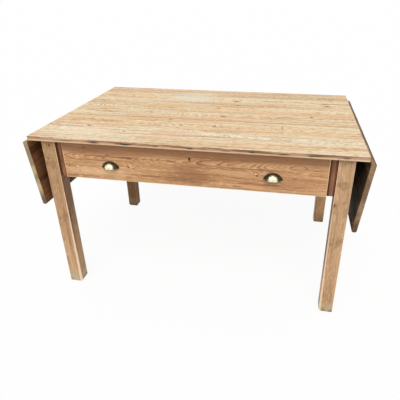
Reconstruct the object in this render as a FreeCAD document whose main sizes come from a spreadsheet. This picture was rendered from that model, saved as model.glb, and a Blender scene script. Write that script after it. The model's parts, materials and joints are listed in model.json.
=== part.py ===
import FreeCAD, Part
import math
import os
import re

import Sketcher
from FreeCAD import Placement, Rotation, Vector

# Drop-leaf farmhouse table, modelled with the floor at z = 0 and the origin under the middle of the top.
# +X runs along the table to the right, the drawer front faces -Y, and +Z is up.

sizes = {
    # the fixed top
    "height": 770,
    "top_length": 1345,
    "top_width": 880,
    "top_thick": 20,
    "edge_round": 4,
    "end_overhang": 42,
    "front_overhang": 24,
    "back_overhang": 36,
    # legs
    "leg_size": 60,
    "foot_size": 58,
    "foot_wear": 2.5,
    "arris_start": 1.5,
    "arris_foot": 8,
    # rails, stiles and battens
    "end_rail_height": 240,
    "end_rail_thick": 24,
    "back_rail_height": 190,
    "back_rail_thick": 22,
    "back_rail_inset": 4,
    "tenon_length": 36,
    "tenon_thick": 12,
    "tenon_shoulder": 15,
    "peg_radius": 4.5,
    "peg_length": 50,
    "back_peg_length": 30,
    "stile_width": 28,
    "stile_thick": 22,
    "stile_recess": 10,
    "tie_rail_thick": 22,
    "tie_rail_depth": 60,
    "tie_tail_length": 24,
    "batten_width": 40,
    "batten_height": 41,
    "block_length": 50,
    "block_side": 17,
    # runners and guides of the drawer
    "runner_height": 22,
    "runner_lap": 12,
    "guide_height": 30,
    "stop_length": 30,
    "stop_width": 20,
    "stop_height": 26,
    # drawer
    "drawer_gap": 1.5,
    "drawer_height": 163.5,
    "drawer_clear": 174,
    "front_thick": 22,
    "side_thick": 14,
    "side_height": 98,
    "back_thick": 14,
    "dovetail_lap": 7,
    "panel_thick": 8,
    "panel_lift": 6,
    "groove_depth": 6,
    "muntin_width": 60,
    "muntin_rise": 4,
    # drawer lock
    "key_offset": 3,
    "key_drop": 42,
    "key_radius": 4.5,
    "key_slot_width": 4.2,
    "key_slot_drop": 10.5,
    "key_depth": 8,
    "lock_width": 60,
    "lock_height": 58,
    "lock_depth": 11,
    "lock_plate_width": 80,
    "lock_plate_thick": 1.5,
    "bolt_width": 14,
    "bolt_thick": 5,
    "bolt_length": 30,
    "bolt_throw": 8,
    "bolt_sink": 1,
    "bolt_play": 2.2,
    "lock_screw_place": 35,
    # cup pulls
    "pull_spacing": 667.5,
    "pull_rise": 55,
    "pull_half_width": 33,
    "pull_projection": 23,
    "pull_lip": 4,
    "pull_wall": 1.6,
    "pull_flange": 4.5,
    "boss_radius": 3.6,
    "boss_inset": 9,
    "pull_screw_radius": 2,
    "pull_screw_head": 4,
    "pull_head_thick": 2,
    "pull_screw_reach": 5.75,
    "pull_bore_depth": 7.7,
    # hanging leaves and their hinges
    "leaf_width": 292,
    "leaf_gap": 1.5,
    "leaf_round": 8.5,
    "hinge_width": 60,
    "hinge_flap": 36,
    "flap_thick": 2,
    "axis_drop": 5,
    "knuckle_radius": 4,
    "knuckle_width": 12,
    "pin_radius": 1.8,
    "flap_edge": 0.3,
    "knuckle_gap": 0.3,
    # pull-out leaf supports
    "loper_width": 45,
    "loper_height": 25,
    "loper_inner": 62,
    "loper_proud": 10,
    "loper_peg_radius": 5,
    "loper_peg_drop": 11,
    "loper_peg_sink": 14,
    "loper_peg_inset": 15,
    # screws
    "screw_radius": 2.2,
    "screw_head": 4.2,
    "screw_head_height": 2.6,
    "hinge_screw_length": 15,
    "lock_screw_length": 12,
    "batten_screw_length": 33,
    "screw_bite": 12,
    # fits
    "slide_gap": 0.3,
    "wood_fit": 0.1,
    "metal_fit": 0.05,
    "overrun": 5,
}

board_shares = (0.215, 0.162, 0.150, 0.118, 0.195, 0.160)
leaf_board_share = 0.58
front_tail_shares = (0.17, 0.50, 0.83)
back_tail_shares = (0.25, 0.75)
tail_root_share = 0.085
tail_end_share = 0.125
back_tail_root_share = 0.12
back_tail_end_share = 0.17
tie_root_share = 0.62
tie_end_share = 0.86
batten_screw_shares = (-0.335, -0.203, -0.048, 0.085, 0.216, 0.386)
block_place_shares = (-0.345, 0.0, 0.333)
hinge_place_shares = (-0.341, 0.0, 0.341)
loper_place_share = 0.267
batten_place_share = 0.284
screw_spread_share = 0.3
screw_reach_share = 0.6
pegs_share = 0.25

# Places that several pieces share, written in the sizes above.
under = "(height - top_thick)"
leg_out = "(top_length / 2 - end_overhang)"
leg_in = f"({leg_out} - leg_size)"
front_y = "(front_overhang - top_width / 2)"
back_y = "(top_width / 2 - back_overhang)"
rail_mid = f"({leg_out} - leg_size / 2)"
rail_in = f"({rail_mid} - end_rail_thick / 2)"
rail_low = f"({under} - end_rail_height)"
rail_front = f"({front_y} + leg_size)"
rail_back = f"({back_y} - leg_size)"
back_rail_out = f"({back_y} - back_rail_inset)"
back_rail_in = f"({back_rail_out} - back_rail_thick)"
back_rail_mid = f"({back_rail_out} - back_rail_thick / 2)"
stile_in = f"({leg_in} - stile_width)"
stile_front = f"({front_y} + stile_recess)"
stile_back = f"({stile_front} + stile_thick)"
drawer_half = f"({stile_in} - drawer_gap)"
drawer_high = f"({under} - drawer_gap)"
drawer_low = f"({drawer_high} - drawer_height)"
runner_top = f"({drawer_low} + runner_height)"
side_low = f"({runner_top} + slide_gap)"
side_high = f"({side_low} + side_height)"
side_in = f"({drawer_half} - side_thick)"
front_in = f"({front_y} + front_thick)"
drawer_end = f"({back_rail_in} - drawer_clear)"
drawer_back_in = f"({drawer_end} - back_thick)"
panel_low = f"({side_low} + panel_lift)"
panel_high = f"({panel_low} + panel_thick)"
tie_back = f"({stile_back} + tie_rail_depth)"
batten_low = f"({under} - batten_height)"
batten_mid = f"({batten_place_share} * top_length)"
batten_in = f"({batten_mid} - batten_width / 2)"
batten_out = f"({batten_mid} + batten_width / 2)"
loper_high = f"({under} - slide_gap)"
loper_low = f"({loper_high} - loper_height)"
loper_out = f"({rail_mid} + end_rail_thick / 2 + loper_proud)"
loper_place = f"({loper_place_share} * top_width)"
hinge_places = [f"({share} * top_width)" for share in hinge_place_shares]
hinge_x = "(top_length / 2 + leaf_gap / 2)"
hinge_z = f"({under} - axis_drop)"
flap_low = "(axis_drop - flap_thick)"
lean = "(90 deg + atan((axis_drop + top_thick / 2) / (leaf_gap / 2 + leaf_width / 2)))"
key_z = f"({drawer_high} - key_drop)"

doc = FreeCAD.newDocument("farmhouse_table")
sheet = doc.addObject("Spreadsheet::Sheet", "sizes")
for row, (alias, number) in enumerate(sizes.items(), start=1):
    sheet.set(f"A{row}", alias)
    sheet.set(f"B{row}", str(number))
    sheet.setAlias(f"B{row}", alias)
doc.recompute()

pieces = {}
trimmed = []
turns = {
    "up": Rotation(),
    "right": Rotation(Vector(0, 1, 0), 90),
    "back": Rotation(Vector(1, 0, 0), -90),
    "front": Rotation(Vector(1, 0, 0), 90),
}


def expression(text):
    """The text with each name of a size pointed at its cell."""
    return re.sub(r"[a-z][a-z_0-9]*", lambda word: f"sizes.{word[0]}" if word[0] in sizes else word[0], text)


def bind(thing, texts):
    for name, text in texts.items():
        thing.setExpression(name, expression(text))


def piece(label, thing):
    thing.Label = label
    pieces[label] = thing
    return thing


def box(name, x, y, z):
    """A box between two places along each axis."""
    block = doc.addObject("Part::Box", name)
    for side, (low, high) in (("Length", x), ("Width", y), ("Height", z)):
        bind(block, {side: f"({high}) - ({low})"})
    bind(block, {"Placement.Base.x": x[0], "Placement.Base.y": y[0], "Placement.Base.z": z[0]})
    return block


def rod(name, radius, length, place, way="up", end_radius=None):
    """A round rod, or a cone where the far end has its own radius, from a place towards one side."""
    if end_radius is None:
        bar = doc.addObject("Part::Cylinder", name)
        bind(bar, {"Radius": radius})
    else:
        bar = doc.addObject("Part::Cone", name)
        bind(bar, {"Radius1": radius, "Radius2": end_radius})
    bar.Placement = Placement(Vector(), turns[way])
    bind(bar, {"Height": length})
    bind(bar, {f"Placement.Base.{axis}": text for axis, text in zip("xyz", place)})
    return bar


def fuse(name, parts):
    joined = doc.addObject("Part::MultiFuse", name)
    joined.Shapes = parts
    joined.Refine = True
    return joined


def group(name, parts):
    """Separate solids that share one name."""
    bundle = doc.addObject("Part::Compound", name)
    bundle.Links = parts
    return bundle


def cut(name, base, tools):
    """The base less each tool in turn."""
    whole = base
    for number, tool in enumerate(tools):
        less = doc.addObject("Part::Cut", f"{name}_cut_{number}")
        less.Base = base
        less.Tool = tool
        less.Refine = True
        base = less
    trimmed.append((whole, base))
    return base


def mirror(label, source):
    """The same piece on the left of the table."""
    twin = doc.addObject("Part::Mirroring", label)
    twin.Source = source
    twin.Base = Vector()
    twin.Normal = Vector(1, 0, 0)
    return piece(label, twin)


def polygon(body, name, role, points, lift="0"):
    """A closed sketch of straight lines on an origin plane, each corner tied to the sizes."""
    sketch = body.newObject("Sketcher::SketchObject", name)
    plane = next(feature for feature in body.Origin.OriginFeatures if feature.Role == role)
    sketch.AttachmentSupport = [(plane, "")]
    sketch.MapMode = "FlatFace"
    bind(sketch, {"AttachmentOffset.Base.z": lift})
    count = len(points)
    spots = [Vector(math.cos(math.tau * index / count), math.sin(math.tau * index / count), 0)
             for index in range(count)]
    for index in range(count):
        sketch.addGeometry(Part.LineSegment(spots[index], spots[(index + 1) % count]))
    for index in range(count):
        sketch.addConstraint(Sketcher.Constraint("Coincident", index, 2, (index + 1) % count, 1))
    for index, (across, up) in enumerate(points):
        for kind, text, start in (("DistanceX", across, spots[index].x), ("DistanceY", up, spots[index].y)):
            number = sketch.addConstraint(Sketcher.Constraint(kind, -1, 1, index, 1, start))
            sketch.setExpression(f"Constraints[{number}]", expression(text))
    return sketch


def pad(body, name, sketch, length):
    raised = body.newObject("PartDesign::Pad", name)
    raised.Profile = sketch
    bind(raised, {"Length": length})
    return raised


def bar_body(name, role, points, lift, length):
    """One straight piece: a section and how far it runs."""
    body = doc.addObject("PartDesign::Body", name)
    pad(body, f"{name}_pad", polygon(body, f"{name}_section", role, points, lift), length)
    return body


def edges_where(shape, wanted):
    return [f"Edge{number}" for number, edge in enumerate(shape.Edges, start=1) if wanted(edge)]


def round_edges(body, name, radius, wanted):
    """Rounds the edges of the body's last feature that the test picks."""
    doc.recompute()
    last = body.Tip
    rounding = body.newObject("PartDesign::Fillet", name)
    rounding.Base = (last, edges_where(last.Shape, wanted))
    bind(rounding, {"Radius": radius})
    return rounding


def long_edge_at(axis, place, along):
    """True for a straight edge that runs along one axis at a given place on another."""
    def wanted(edge):
        box_of = edge.BoundBox
        spans = {"x": box_of.XLength, "y": box_of.YLength, "z": box_of.ZLength}
        middle = {"x": box_of.Center.x, "y": box_of.Center.y, "z": box_of.Center.z}
        near = abs(middle[axis] - place) < sheet.wood_fit
        return near and spans[along] > sum(spans.values()) - sheet.wood_fit
    return wanted


def screw(name, place, length, way="up", extra="0"):
    """A countersunk wood screw with its head at the place; extra makes it a tool for its hole."""
    head = rod(f"{name}_head", f"screw_head + {extra}", "screw_head_height", place, way,
               f"screw_radius + {extra}")
    shank = rod(f"{name}_shank", f"screw_radius + {extra}", f"{length} + {extra}", place, way)
    return fuse(name, [head, shank])


def hang(thing):
    """Turns a piece drawn in the hinge's frame, raised level, down to where the leaf hangs at rest."""
    thing.Placement = Placement(Vector(), Rotation(Vector(0, 1, 0), 90))
    bind(thing, {"Placement.Base.x": hinge_x, "Placement.Base.z": hinge_z, "Placement.Rotation.Angle": lean})
    return thing


def at_hinge(thing):
    bind(thing, {"Placement.Base.x": hinge_x, "Placement.Base.z": hinge_z})
    return thing


# Rails. Each is a board with a thinner slab through it, whose ends are the tenons.
tenon_low = f"({rail_low} + tenon_shoulder)"
tenon_high = f"({under} - tenon_shoulder)"
rail_peg_zs = [f"({under} - end_rail_height / 2 + {sign} * {pegs_share} * end_rail_height)" for sign in (-1, 1)]
back_peg_zs = [f"({under} - back_rail_height / 2 + {sign} * {pegs_share} * back_rail_height)"
               for sign in (-1, 1)]
end_rail_board = box("end_rail_board", (rail_in, f"{rail_in} + end_rail_thick"), (rail_front, rail_back),
                     (rail_low, under))
end_rail_tenons = box("end_rail_tenons", (f"{rail_mid} - tenon_thick / 2", f"{rail_mid} + tenon_thick / 2"),
                      (f"{rail_front} - tenon_length", f"{rail_back} + tenon_length"),
                      (tenon_low, tenon_high))
end_rail_whole = fuse("end_rail_whole", [end_rail_board, end_rail_tenons])
back_rail_board = box("back_rail_board", (f"-{leg_in}", leg_in), (back_rail_in, back_rail_out),
                      (f"{under} - back_rail_height", under))
back_rail_tenons = box("back_rail_tenons", (f"-{leg_in} - tenon_length", f"{leg_in} + tenon_length"),
                       (f"{back_rail_mid} - tenon_thick / 2", f"{back_rail_mid} + tenon_thick / 2"),
                       (f"{under} - back_rail_height + tenon_shoulder", tenon_high))
back_rail_whole = fuse("back_rail_whole", [back_rail_board, back_rail_tenons])


# The tie rail lies flat behind the drawer front and drops into dovetail sockets in the front legs.
def tie_rail():
    lap = f"({rail_front} - {stile_back})"
    middle = f"({stile_back} + {lap} / 2)"
    tail_end = f"({leg_in} + tie_tail_length)"
    right = [(leg_in, stile_back),
             (leg_in, f"{middle} - {tie_root_share} * {lap} / 2"),
             (tail_end, f"{middle} - {tie_end_share} * {lap} / 2"),
             (tail_end, f"{middle} + {tie_end_share} * {lap} / 2"),
             (leg_in, f"{middle} + {tie_root_share} * {lap} / 2"),
             (leg_in, tie_back)]
    left = [(f"-({across})", along) for across, along in reversed(right)]
    return bar_body("tie_rail", "XY_Plane", right + left, f"{under} - tie_rail_thick", "tie_rail_thick")


front_tie_rail = piece("front_tie_rail", tie_rail())


# Pegs pin the tenons. The same rods, a little larger, are the holes.
def end_rail_pegs(name, extra):
    rods = []
    for side, along in enumerate((f"{rail_front} - tenon_length / 2", f"{rail_back} + tenon_length / 2")):
        for level, up in enumerate(rail_peg_zs):
            rods.append(rod(f"{name}_{side}_{level}", f"peg_radius + {extra}", "peg_length",
                            (f"{leg_out} - peg_length", along, up), "right"))
    return group(name, rods)


def back_rail_pegs(name, extra):
    rods = []
    for level, up in enumerate(back_peg_zs):
        rods.append(rod(f"{name}_{level}", f"peg_radius + {extra}", "back_peg_length",
                        (f"{leg_in} + tenon_length / 2", f"{back_y} - back_peg_length", up), "back"))
    return group(name, rods)


def both_sides(name, right):
    """A group on the right with its mirror image on the left."""
    twin = doc.addObject("Part::Mirroring", f"{name}_left")
    twin.Source = right
    twin.Base = Vector()
    twin.Normal = Vector(1, 0, 0)
    return group(name, [right, twin])


end_peg_holes = end_rail_pegs("end_peg_holes", "wood_fit")
back_peg_holes = back_rail_pegs("back_peg_holes", "wood_fit")
back_peg_holes_both = both_sides("back_peg_holes_both", back_peg_holes)
rail_pegs = piece("rail_pegs", group("rail_pegs", [
    both_sides("end_pegs", end_rail_pegs("end_pegs_right", "0")),
    both_sides("back_pegs", back_rail_pegs("back_pegs_right", "0"))]))


# Pull-out supports slide through notches in the end rail and in the cross batten.
def loper_notch(name, sign):
    middle = f"({sign} * {loper_place})"
    half = "(loper_width / 2 + slide_gap)"
    return box(name, (f"{batten_in} - overrun", f"{rail_mid} + end_rail_thick / 2 + overrun"),
               (f"{middle} - {half}", f"{middle} + {half}"),
               (f"{loper_low} - slide_gap", f"{under} + overrun"))


loper_notches = [loper_notch("front_loper_notch", -1), loper_notch("back_loper_notch", 1)]
right_end_rail = piece("right_end_rail", cut("end_rail", end_rail_whole, loper_notches + [end_peg_holes]))
left_end_rail = mirror("left_end_rail", right_end_rail)
back_rail = piece("back_rail", cut("back_rail", back_rail_whole, [back_peg_holes_both]))


# Legs are square down to the rails and taper on their inner faces below them.
# The arris beside the knee space has a chamfer that widens towards the foot.
def leg(label, outer_y, inward, mates):
    foot_in = f"({leg_out} - foot_size)"
    face = f"({outer_y} + {inward} * leg_size)"
    foot_face = f"({outer_y} + {inward} * foot_size)"
    body = doc.addObject("PartDesign::Body", f"{label}_wood")
    square = [(leg_in, outer_y), (leg_out, outer_y), (leg_out, face), (leg_in, face)]
    pad(body, f"{label}_head", polygon(body, f"{label}_square", "XY_Plane", square, rail_low),
        "end_rail_height")
    shoulder = [(f"{leg_in} + arris_start", outer_y), (leg_out, outer_y), (leg_out, face), (leg_in, face),
                (leg_in, f"{outer_y} + {inward} * arris_start")]
    foot = [(f"{foot_in} + arris_foot", outer_y), (leg_out, outer_y), (leg_out, foot_face),
            (foot_in, foot_face), (foot_in, f"{outer_y} + {inward} * arris_foot")]
    top_section = polygon(body, f"{label}_shoulder", "XY_Plane", shoulder, rail_low)
    foot_section = polygon(body, f"{label}_foot", "XY_Plane", foot)
    taper = body.newObject("PartDesign::AdditiveLoft", f"{label}_taper")
    taper.Profile = top_section
    taper.Sections = [foot_section]
    taper.Ruled = True
    doc.recompute()
    wear = body.newObject("PartDesign::Chamfer", f"{label}_wear")
    wear.Base = (taper, edges_where(taper.Shape, lambda edge: edge.BoundBox.ZMax < sheet.wood_fit))
    bind(wear, {"Size": "foot_wear"})
    return piece(label, cut(label, body, mates))


front_right_leg = leg("front_right_leg", front_y, 1, [end_rail_whole, front_tie_rail, end_peg_holes])
front_left_leg = mirror("front_left_leg", front_right_leg)
back_right_leg = leg("back_right_leg", back_y, -1,
                     [end_rail_whole, back_rail_whole, end_peg_holes, back_peg_holes])
back_left_leg = mirror("back_left_leg", back_right_leg)

# Stiles, runners and guides stand against the legs' inner faces.
right_stile = piece("right_stile", box("right_stile", (stile_in, leg_in), (stile_front, stile_back),
                                       (drawer_low, under)))
left_stile = mirror("left_stile", right_stile)
right_runner = piece("right_drawer_runner", box("right_drawer_runner", (f"{side_in} - runner_lap", leg_in),
                                                (stile_back, back_rail_in), (drawer_low, runner_top)))
left_runner = mirror("left_drawer_runner", right_runner)
right_guide = piece("right_drawer_guide", box("right_drawer_guide", (stile_in, leg_in),
                                              (stile_back, back_rail_in),
                                              (runner_top, f"{runner_top} + guide_height")))
left_guide = mirror("left_drawer_guide", right_guide)
right_stop = box("right_stop", (f"{stile_in} - stop_width", stile_in),
                 (f"{drawer_end} + slide_gap", f"{drawer_end} + slide_gap + stop_length"),
                 (runner_top, f"{runner_top} + stop_height"))
drawer_stops = piece("drawer_stops", both_sides("drawer_stops", right_stop))


# Cross battens hold the boards of the top, and their notches guide the supports.
def batten_screws(name, extra):
    head_z = f"({under} + screw_bite - batten_screw_length)"
    return group(name, [screw(f"{name}_{index}", (batten_mid, f"{share} * top_width", head_z),
                              "batten_screw_length", extra=extra)
                        for index, share in enumerate(batten_screw_shares)])


def batten_bores():
    head_z = f"({under} + screw_bite - batten_screw_length)"
    return group("batten_bores", [rod(f"batten_bore_{index}", "screw_head + wood_fit",
                                      f"{head_z} - {batten_low} + overrun",
                                      (batten_mid, f"{share} * top_width", f"{batten_low} - overrun"))
                                  for index, share in enumerate(batten_screw_shares)])


batten_screw_holes = batten_screws("batten_screw_holes", "metal_fit")
batten_board = box("batten_board", (batten_in, batten_out), (tie_back, back_rail_in), (batten_low, under))
right_batten = piece("right_cross_batten", cut("right_cross_batten", batten_board,
                                               loper_notches + [batten_bores(), batten_screw_holes]))
left_batten = mirror("left_cross_batten", right_batten)
top_screws = piece("top_screws", both_sides("top_screws", batten_screws("top_screws_right", "0")))


def glue_block(index, share):
    """A three-cornered block rubbed into the angle of the end rail and the top."""
    corners = [(rail_in, under), (f"{rail_in} - block_side", under), (rail_in, f"{under} - block_side")]
    return bar_body(f"glue_block_{index}", "XZ_Plane", corners, f"-({share} * top_width + block_length / 2)",
                    "block_length")


glue_blocks = piece("glue_blocks", both_sides("glue_blocks", group("right_glue_blocks", [
    glue_block(index, share) for index, share in enumerate(block_place_shares)])))


# Hinges, drawn in their own frame with the pin along Y at the origin. Slots are the places of the knuckles.
fixed_slots = (0, 2, 4)
leaf_slots = (1, 3)


def hinge_screws(name, way, extra):
    """Screws of three flaps; way is -1 under the top and 1 under the leaf."""
    screws = []
    for hinge, place in enumerate(hinge_places):
        for side in (-1, 1):
            along = f"({place} + {side} * {screw_spread_share} * hinge_width)"
            across = f"({way} * {screw_reach_share} * hinge_flap)"
            screws.append(screw(f"{name}_{hinge}_{side + 1}", (across, along, flap_low),
                                "hinge_screw_length", extra=extra))
    return group(name, screws)


def hinge_flap(name, place, way, own):
    """A flat flap with its share of the knuckles and a bore for the pin."""
    edge = (f"{way} * hinge_flap", f"{way} * flap_edge")
    across = edge if way < 0 else edge[::-1]
    plate = box(f"{name}_plate", across, (f"{place} - hinge_width / 2", f"{place} + hinge_width / 2"),
                (flap_low, "axis_drop"))
    clear = (f"{way} * (knuckle_radius + flap_edge)", "0")
    notches = []
    barrels = []
    for slot in fixed_slots + leaf_slots:
        low = f"{place} - hinge_width / 2 + {slot} * knuckle_width"
        high = f"{low} + knuckle_width"
        if slot in own:
            barrels.append(rod(f"{name}_knuckle_{slot}", "knuckle_radius", "knuckle_width - knuckle_gap",
                               ("0", f"{low} + knuckle_gap / 2", "0"), "back"))
        else:
            notches.append(box(f"{name}_notch_{slot}", clear if way < 0 else clear[::-1],
                               (f"{low} - knuckle_gap / 2", f"{high} + knuckle_gap / 2"),
                               (f"{flap_low} - overrun", "axis_drop + overrun")))
    bore = rod(f"{name}_bore", "pin_radius + metal_fit", "hinge_width + 2 * overrun",
               ("0", f"{place} - hinge_width / 2 - overrun", "0"), "back")
    notched = cut(f"{name}_notched", plate, notches)
    return cut(name, fuse(f"{name}_joined", [notched] + barrels), [bore])


def flaps(name, way, own, holes):
    made = [hinge_flap(f"{name}_{index}", place, way, own)
            for index, place in enumerate(hinge_places)]
    return cut(name, group(f"{name}_blank", made), [holes])


fixed_hole_tools = hinge_screws("fixed_hole_tools", -1, "metal_fit")
leaf_hole_tools = hinge_screws("leaf_hole_tools", 1, "metal_fit")
right_fixed_flaps = piece("right_hinge_fixed_flaps",
                          at_hinge(flaps("fixed_flaps", -1, fixed_slots, fixed_hole_tools)))
left_fixed_flaps = mirror("left_hinge_fixed_flaps", right_fixed_flaps)
right_leaf_flaps = piece("right_leaf_hinge_flaps",
                         hang(flaps("leaf_flaps", 1, leaf_slots, leaf_hole_tools)))
left_leaf_flaps = mirror("left_leaf_hinge_flaps", right_leaf_flaps)
right_pins = at_hinge(group("right_pins", [
    rod(f"hinge_pin_{index}", "pin_radius", "hinge_width", ("0", f"{place} - hinge_width / 2", "0"), "back")
    for index, place in enumerate(hinge_places)]))
hinge_pins = piece("hinge_pins", both_sides("hinge_pins", right_pins))
fixed_screws = piece("hinge_fixed_screws", both_sides(
    "hinge_fixed_screws", at_hinge(hinge_screws("fixed_screws_right", -1, "0"))))
right_leaf_screws = piece("right_leaf_hinge_screws", hang(hinge_screws("leaf_screws_right", 1, "0")))
left_leaf_screws = mirror("left_leaf_hinge_screws", right_leaf_screws)
top_hole_tools = at_hinge(group("top_hole_tools", [hinge_screws("top_hole_screws", -1, "metal_fit")]))
top_hole_tools_both = both_sides("top_hole_tools_both", top_hole_tools)


# Leaves of two boards each, laid the short way of the table, with a rounded outer edge.
def leaf_board(label, low, high, rounded):
    low_z, high_z = "axis_drop", "axis_drop + top_thick"
    corners = [(low, low_z), (high, low_z), (high, high_z), (low, high_z)]
    body = bar_body(f"{label}_wood", "XZ_Plane", corners, "-top_width / 2", "top_width")
    if rounded:
        edge_x = sheet.leaf_gap / 2 + sheet.leaf_width
        round_edges(body, f"{label}_nose", "leaf_round", long_edge_at("x", edge_x, "y"))
        return piece(label, hang(body))
    return piece(label, hang(cut(label, body, [leaf_hole_tools])))


leaf_joint = f"(leaf_gap / 2 + {leaf_board_share} * leaf_width)"
right_inner_board = leaf_board("right_leaf_inner_board", "leaf_gap / 2", leaf_joint, False)
left_inner_board = mirror("left_leaf_inner_board", right_inner_board)
right_outer_board = leaf_board("right_leaf_outer_board", leaf_joint, "leaf_gap / 2 + leaf_width", True)
left_outer_board = mirror("left_leaf_outer_board", right_outer_board)

# Lock bolt, lock case and keyhole.
bolt_y = f"({front_in} - lock_depth / 2)"
bolt_high = f"({drawer_high} - bolt_sink)"
bolt_x = ("key_offset - bolt_width / 2", "key_offset + bolt_width / 2")
bolt_span = (f"{bolt_y} - bolt_thick / 2", f"{bolt_y} + bolt_thick / 2")
lock_bolt = piece("lock_bolt", box("lock_bolt", bolt_x, bolt_span, (f"{bolt_high} - bolt_length", bolt_high)))


def around(span, gap):
    return (f"{span[0]} - {gap}", f"{span[1]} + {gap}")


def keyhole(name, low_y, high_y):
    """A round hole with a narrower slot hanging from it."""
    length = f"({high_y}) - ({low_y})"
    head = rod(f"{name}_head", "key_radius", length, ("key_offset", low_y, key_z), "back")
    slot = box(f"{name}_slot", ("key_offset - key_slot_width / 2", "key_offset + key_slot_width / 2"),
               (low_y, high_y), (f"{key_z} - key_slot_drop", key_z))
    return fuse(name, [head, slot])


bolt_channel = box("bolt_channel", around(bolt_x, "slide_gap"), around(bolt_span, "slide_gap"),
                   (f"{bolt_high} - bolt_length - slide_gap", f"{drawer_high} + overrun"))
bolt_mortise = box("bolt_mortise", around(bolt_x, "bolt_play"), around(bolt_span, "bolt_play"),
                   (f"{under} - overrun", f"{bolt_high} + bolt_throw + bolt_play"))
lock_box = box("lock_box", ("key_offset - lock_width / 2", "key_offset + lock_width / 2"),
               (f"{front_in} - lock_depth", front_in), (f"{drawer_high} - lock_height", drawer_high))
lock_plate = box("lock_plate", ("key_offset - lock_plate_width / 2", "key_offset + lock_plate_width / 2"),
                 (front_in, f"{front_in} + lock_plate_thick"), (f"{drawer_high} - lock_height", drawer_high))
lock_whole = fuse("lock_whole", [lock_box, lock_plate])


def lock_screws(name, extra):
    return group(name, [screw(f"{name}_{side + 1}",
                              (f"key_offset + {side} * lock_screw_place", f"{front_in} + lock_plate_thick",
                               f"{drawer_high} - lock_height / 2"),
                              "lock_screw_length", "front", extra) for side in (-1, 1)])


lock_screw_holes = lock_screws("lock_screw_holes", "metal_fit")
keyway = keyhole("keyway", f"{front_in} - lock_depth - overrun", f"{front_in} - lock_depth + key_depth")
lock_case = piece("lock_case", cut("lock_case", lock_whole, [bolt_channel, keyway, lock_screw_holes]))
lock_screws_in = piece("lock_screws", lock_screws("lock_screws", "0"))


# Cup pulls: a quarter of an ellipsoid over a short straight lip, on a thin flange, hollow from below.
def cup_solid(half_width, reach, lip):
    """Half an ellipse swung a quarter turn up from its front, and carried down for the lip."""
    curve = Part.Ellipse(Vector(half_width, 0, 0), Vector(0, -reach, 0), Vector())
    arc = Part.Arc(curve, 0, math.pi).toShape()
    ends = [vertex.Point for vertex in arc.Vertexes]
    face = Part.Face(Part.Wire([arc, Part.makeLine(ends[1], ends[0])]))
    sign = -1 if face.CenterOfMass.y < 0 else 1
    dome = face.revolve(Vector(), Vector(1, 0, 0), sign * 90)
    return dome.fuse(face.extrude(Vector(0, 0, -lip))).removeSplitter()


def cup_pull():
    wall = sheet.pull_wall
    lip = sheet.pull_lip
    outer = cup_solid(sheet.pull_half_width, sheet.pull_projection, lip)
    inner = cup_solid(sheet.pull_half_width - wall, sheet.pull_projection - wall, lip + sheet.overrun)
    wide = sheet.pull_half_width + sheet.pull_flange
    tall = sheet.pull_projection + sheet.pull_flange
    arch = Part.Arc(Part.Ellipse(Vector(wide, 0, 0), Vector(0, 0, tall), Vector()), 0, math.pi).toShape()
    ends = [vertex.Point for vertex in arch.Vertexes]
    arch_face = Part.Face(Part.Wire([arch, Part.makeLine(ends[1], ends[0])]))
    skirt = Part.makeBox(2 * wide, wall, lip, Vector(-wide, -wall, -lip))
    flange = arch_face.extrude(Vector(0, -wall, 0)).fuse(skirt)
    shell = outer.fuse(flange).cut(inner)
    for side in (-1, 1):
        place = Vector(side * (sheet.pull_half_width - sheet.boss_inset), 0, 0)
        boss = Part.makeCylinder(sheet.boss_radius, sheet.pull_projection, place, Vector(0, -1, 0))
        shell = shell.fuse(boss.common(outer))
        bore = Part.makeCylinder(sheet.pull_screw_radius + sheet.metal_fit, sheet.pull_bore_depth, place,
                                 Vector(0, -1, 0))
        shell = shell.cut(bore)
    return shell.removeSplitter()


pull_z = f"({drawer_low} + pull_rise + pull_lip)"
pull_shape = cup_pull()
for label, sign in (("left_cup_pull", -1), ("right_cup_pull", 1)):
    pull = piece(label, doc.addObject("Part::Feature", label))
    pull.Shape = pull_shape
    bind(pull, {"Placement.Base.x": f"{sign} * pull_spacing / 2", "Placement.Base.y": front_y,
                "Placement.Base.z": pull_z})


def pull_screws(name, extra):
    """Round-headed screws from inside the drawer into the bosses of the pulls."""
    made = []
    for pull_sign in (-1, 1):
        for side in (-1, 1):
            across = f"({pull_sign} * pull_spacing / 2 + {side} * (pull_half_width - boss_inset))"
            shank = rod(f"{name}_{pull_sign + 1}_{side + 1}_shank", f"pull_screw_radius + {extra}",
                        "front_thick + pull_screw_reach", (across, front_in, pull_z), "front")
            head = rod(f"{name}_{pull_sign + 1}_{side + 1}_head", "pull_screw_head", "pull_head_thick",
                       (across, front_in, pull_z), "back")
            made.append(fuse(f"{name}_{pull_sign + 1}_{side + 1}", [shank, head]))
    return group(name, made)


pull_screw_holes = pull_screws("pull_screw_holes", "metal_fit")
pull_screws_in = piece("pull_screws", pull_screws("pull_screws", "0"))

# Drawer. The two bottom panels slide in grooves and meet in the muntin.
panel_out = f"({side_in} + groove_depth)"
right_bottom = piece("drawer_right_bottom", box("drawer_right_bottom",
                                                ("muntin_width / 2 - groove_depth", panel_out),
                                                (f"{front_in} - groove_depth", drawer_end),
                                                (panel_low, panel_high)))
left_bottom = mirror("drawer_left_bottom", right_bottom)
muntin_bar = box("muntin_bar", ("-muntin_width / 2", "muntin_width / 2"), (front_in, drawer_end),
                 (side_low, f"{panel_high} + muntin_rise"))
muntin = piece("drawer_muntin", cut("drawer_muntin", muntin_bar, [right_bottom, left_bottom]))


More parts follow.
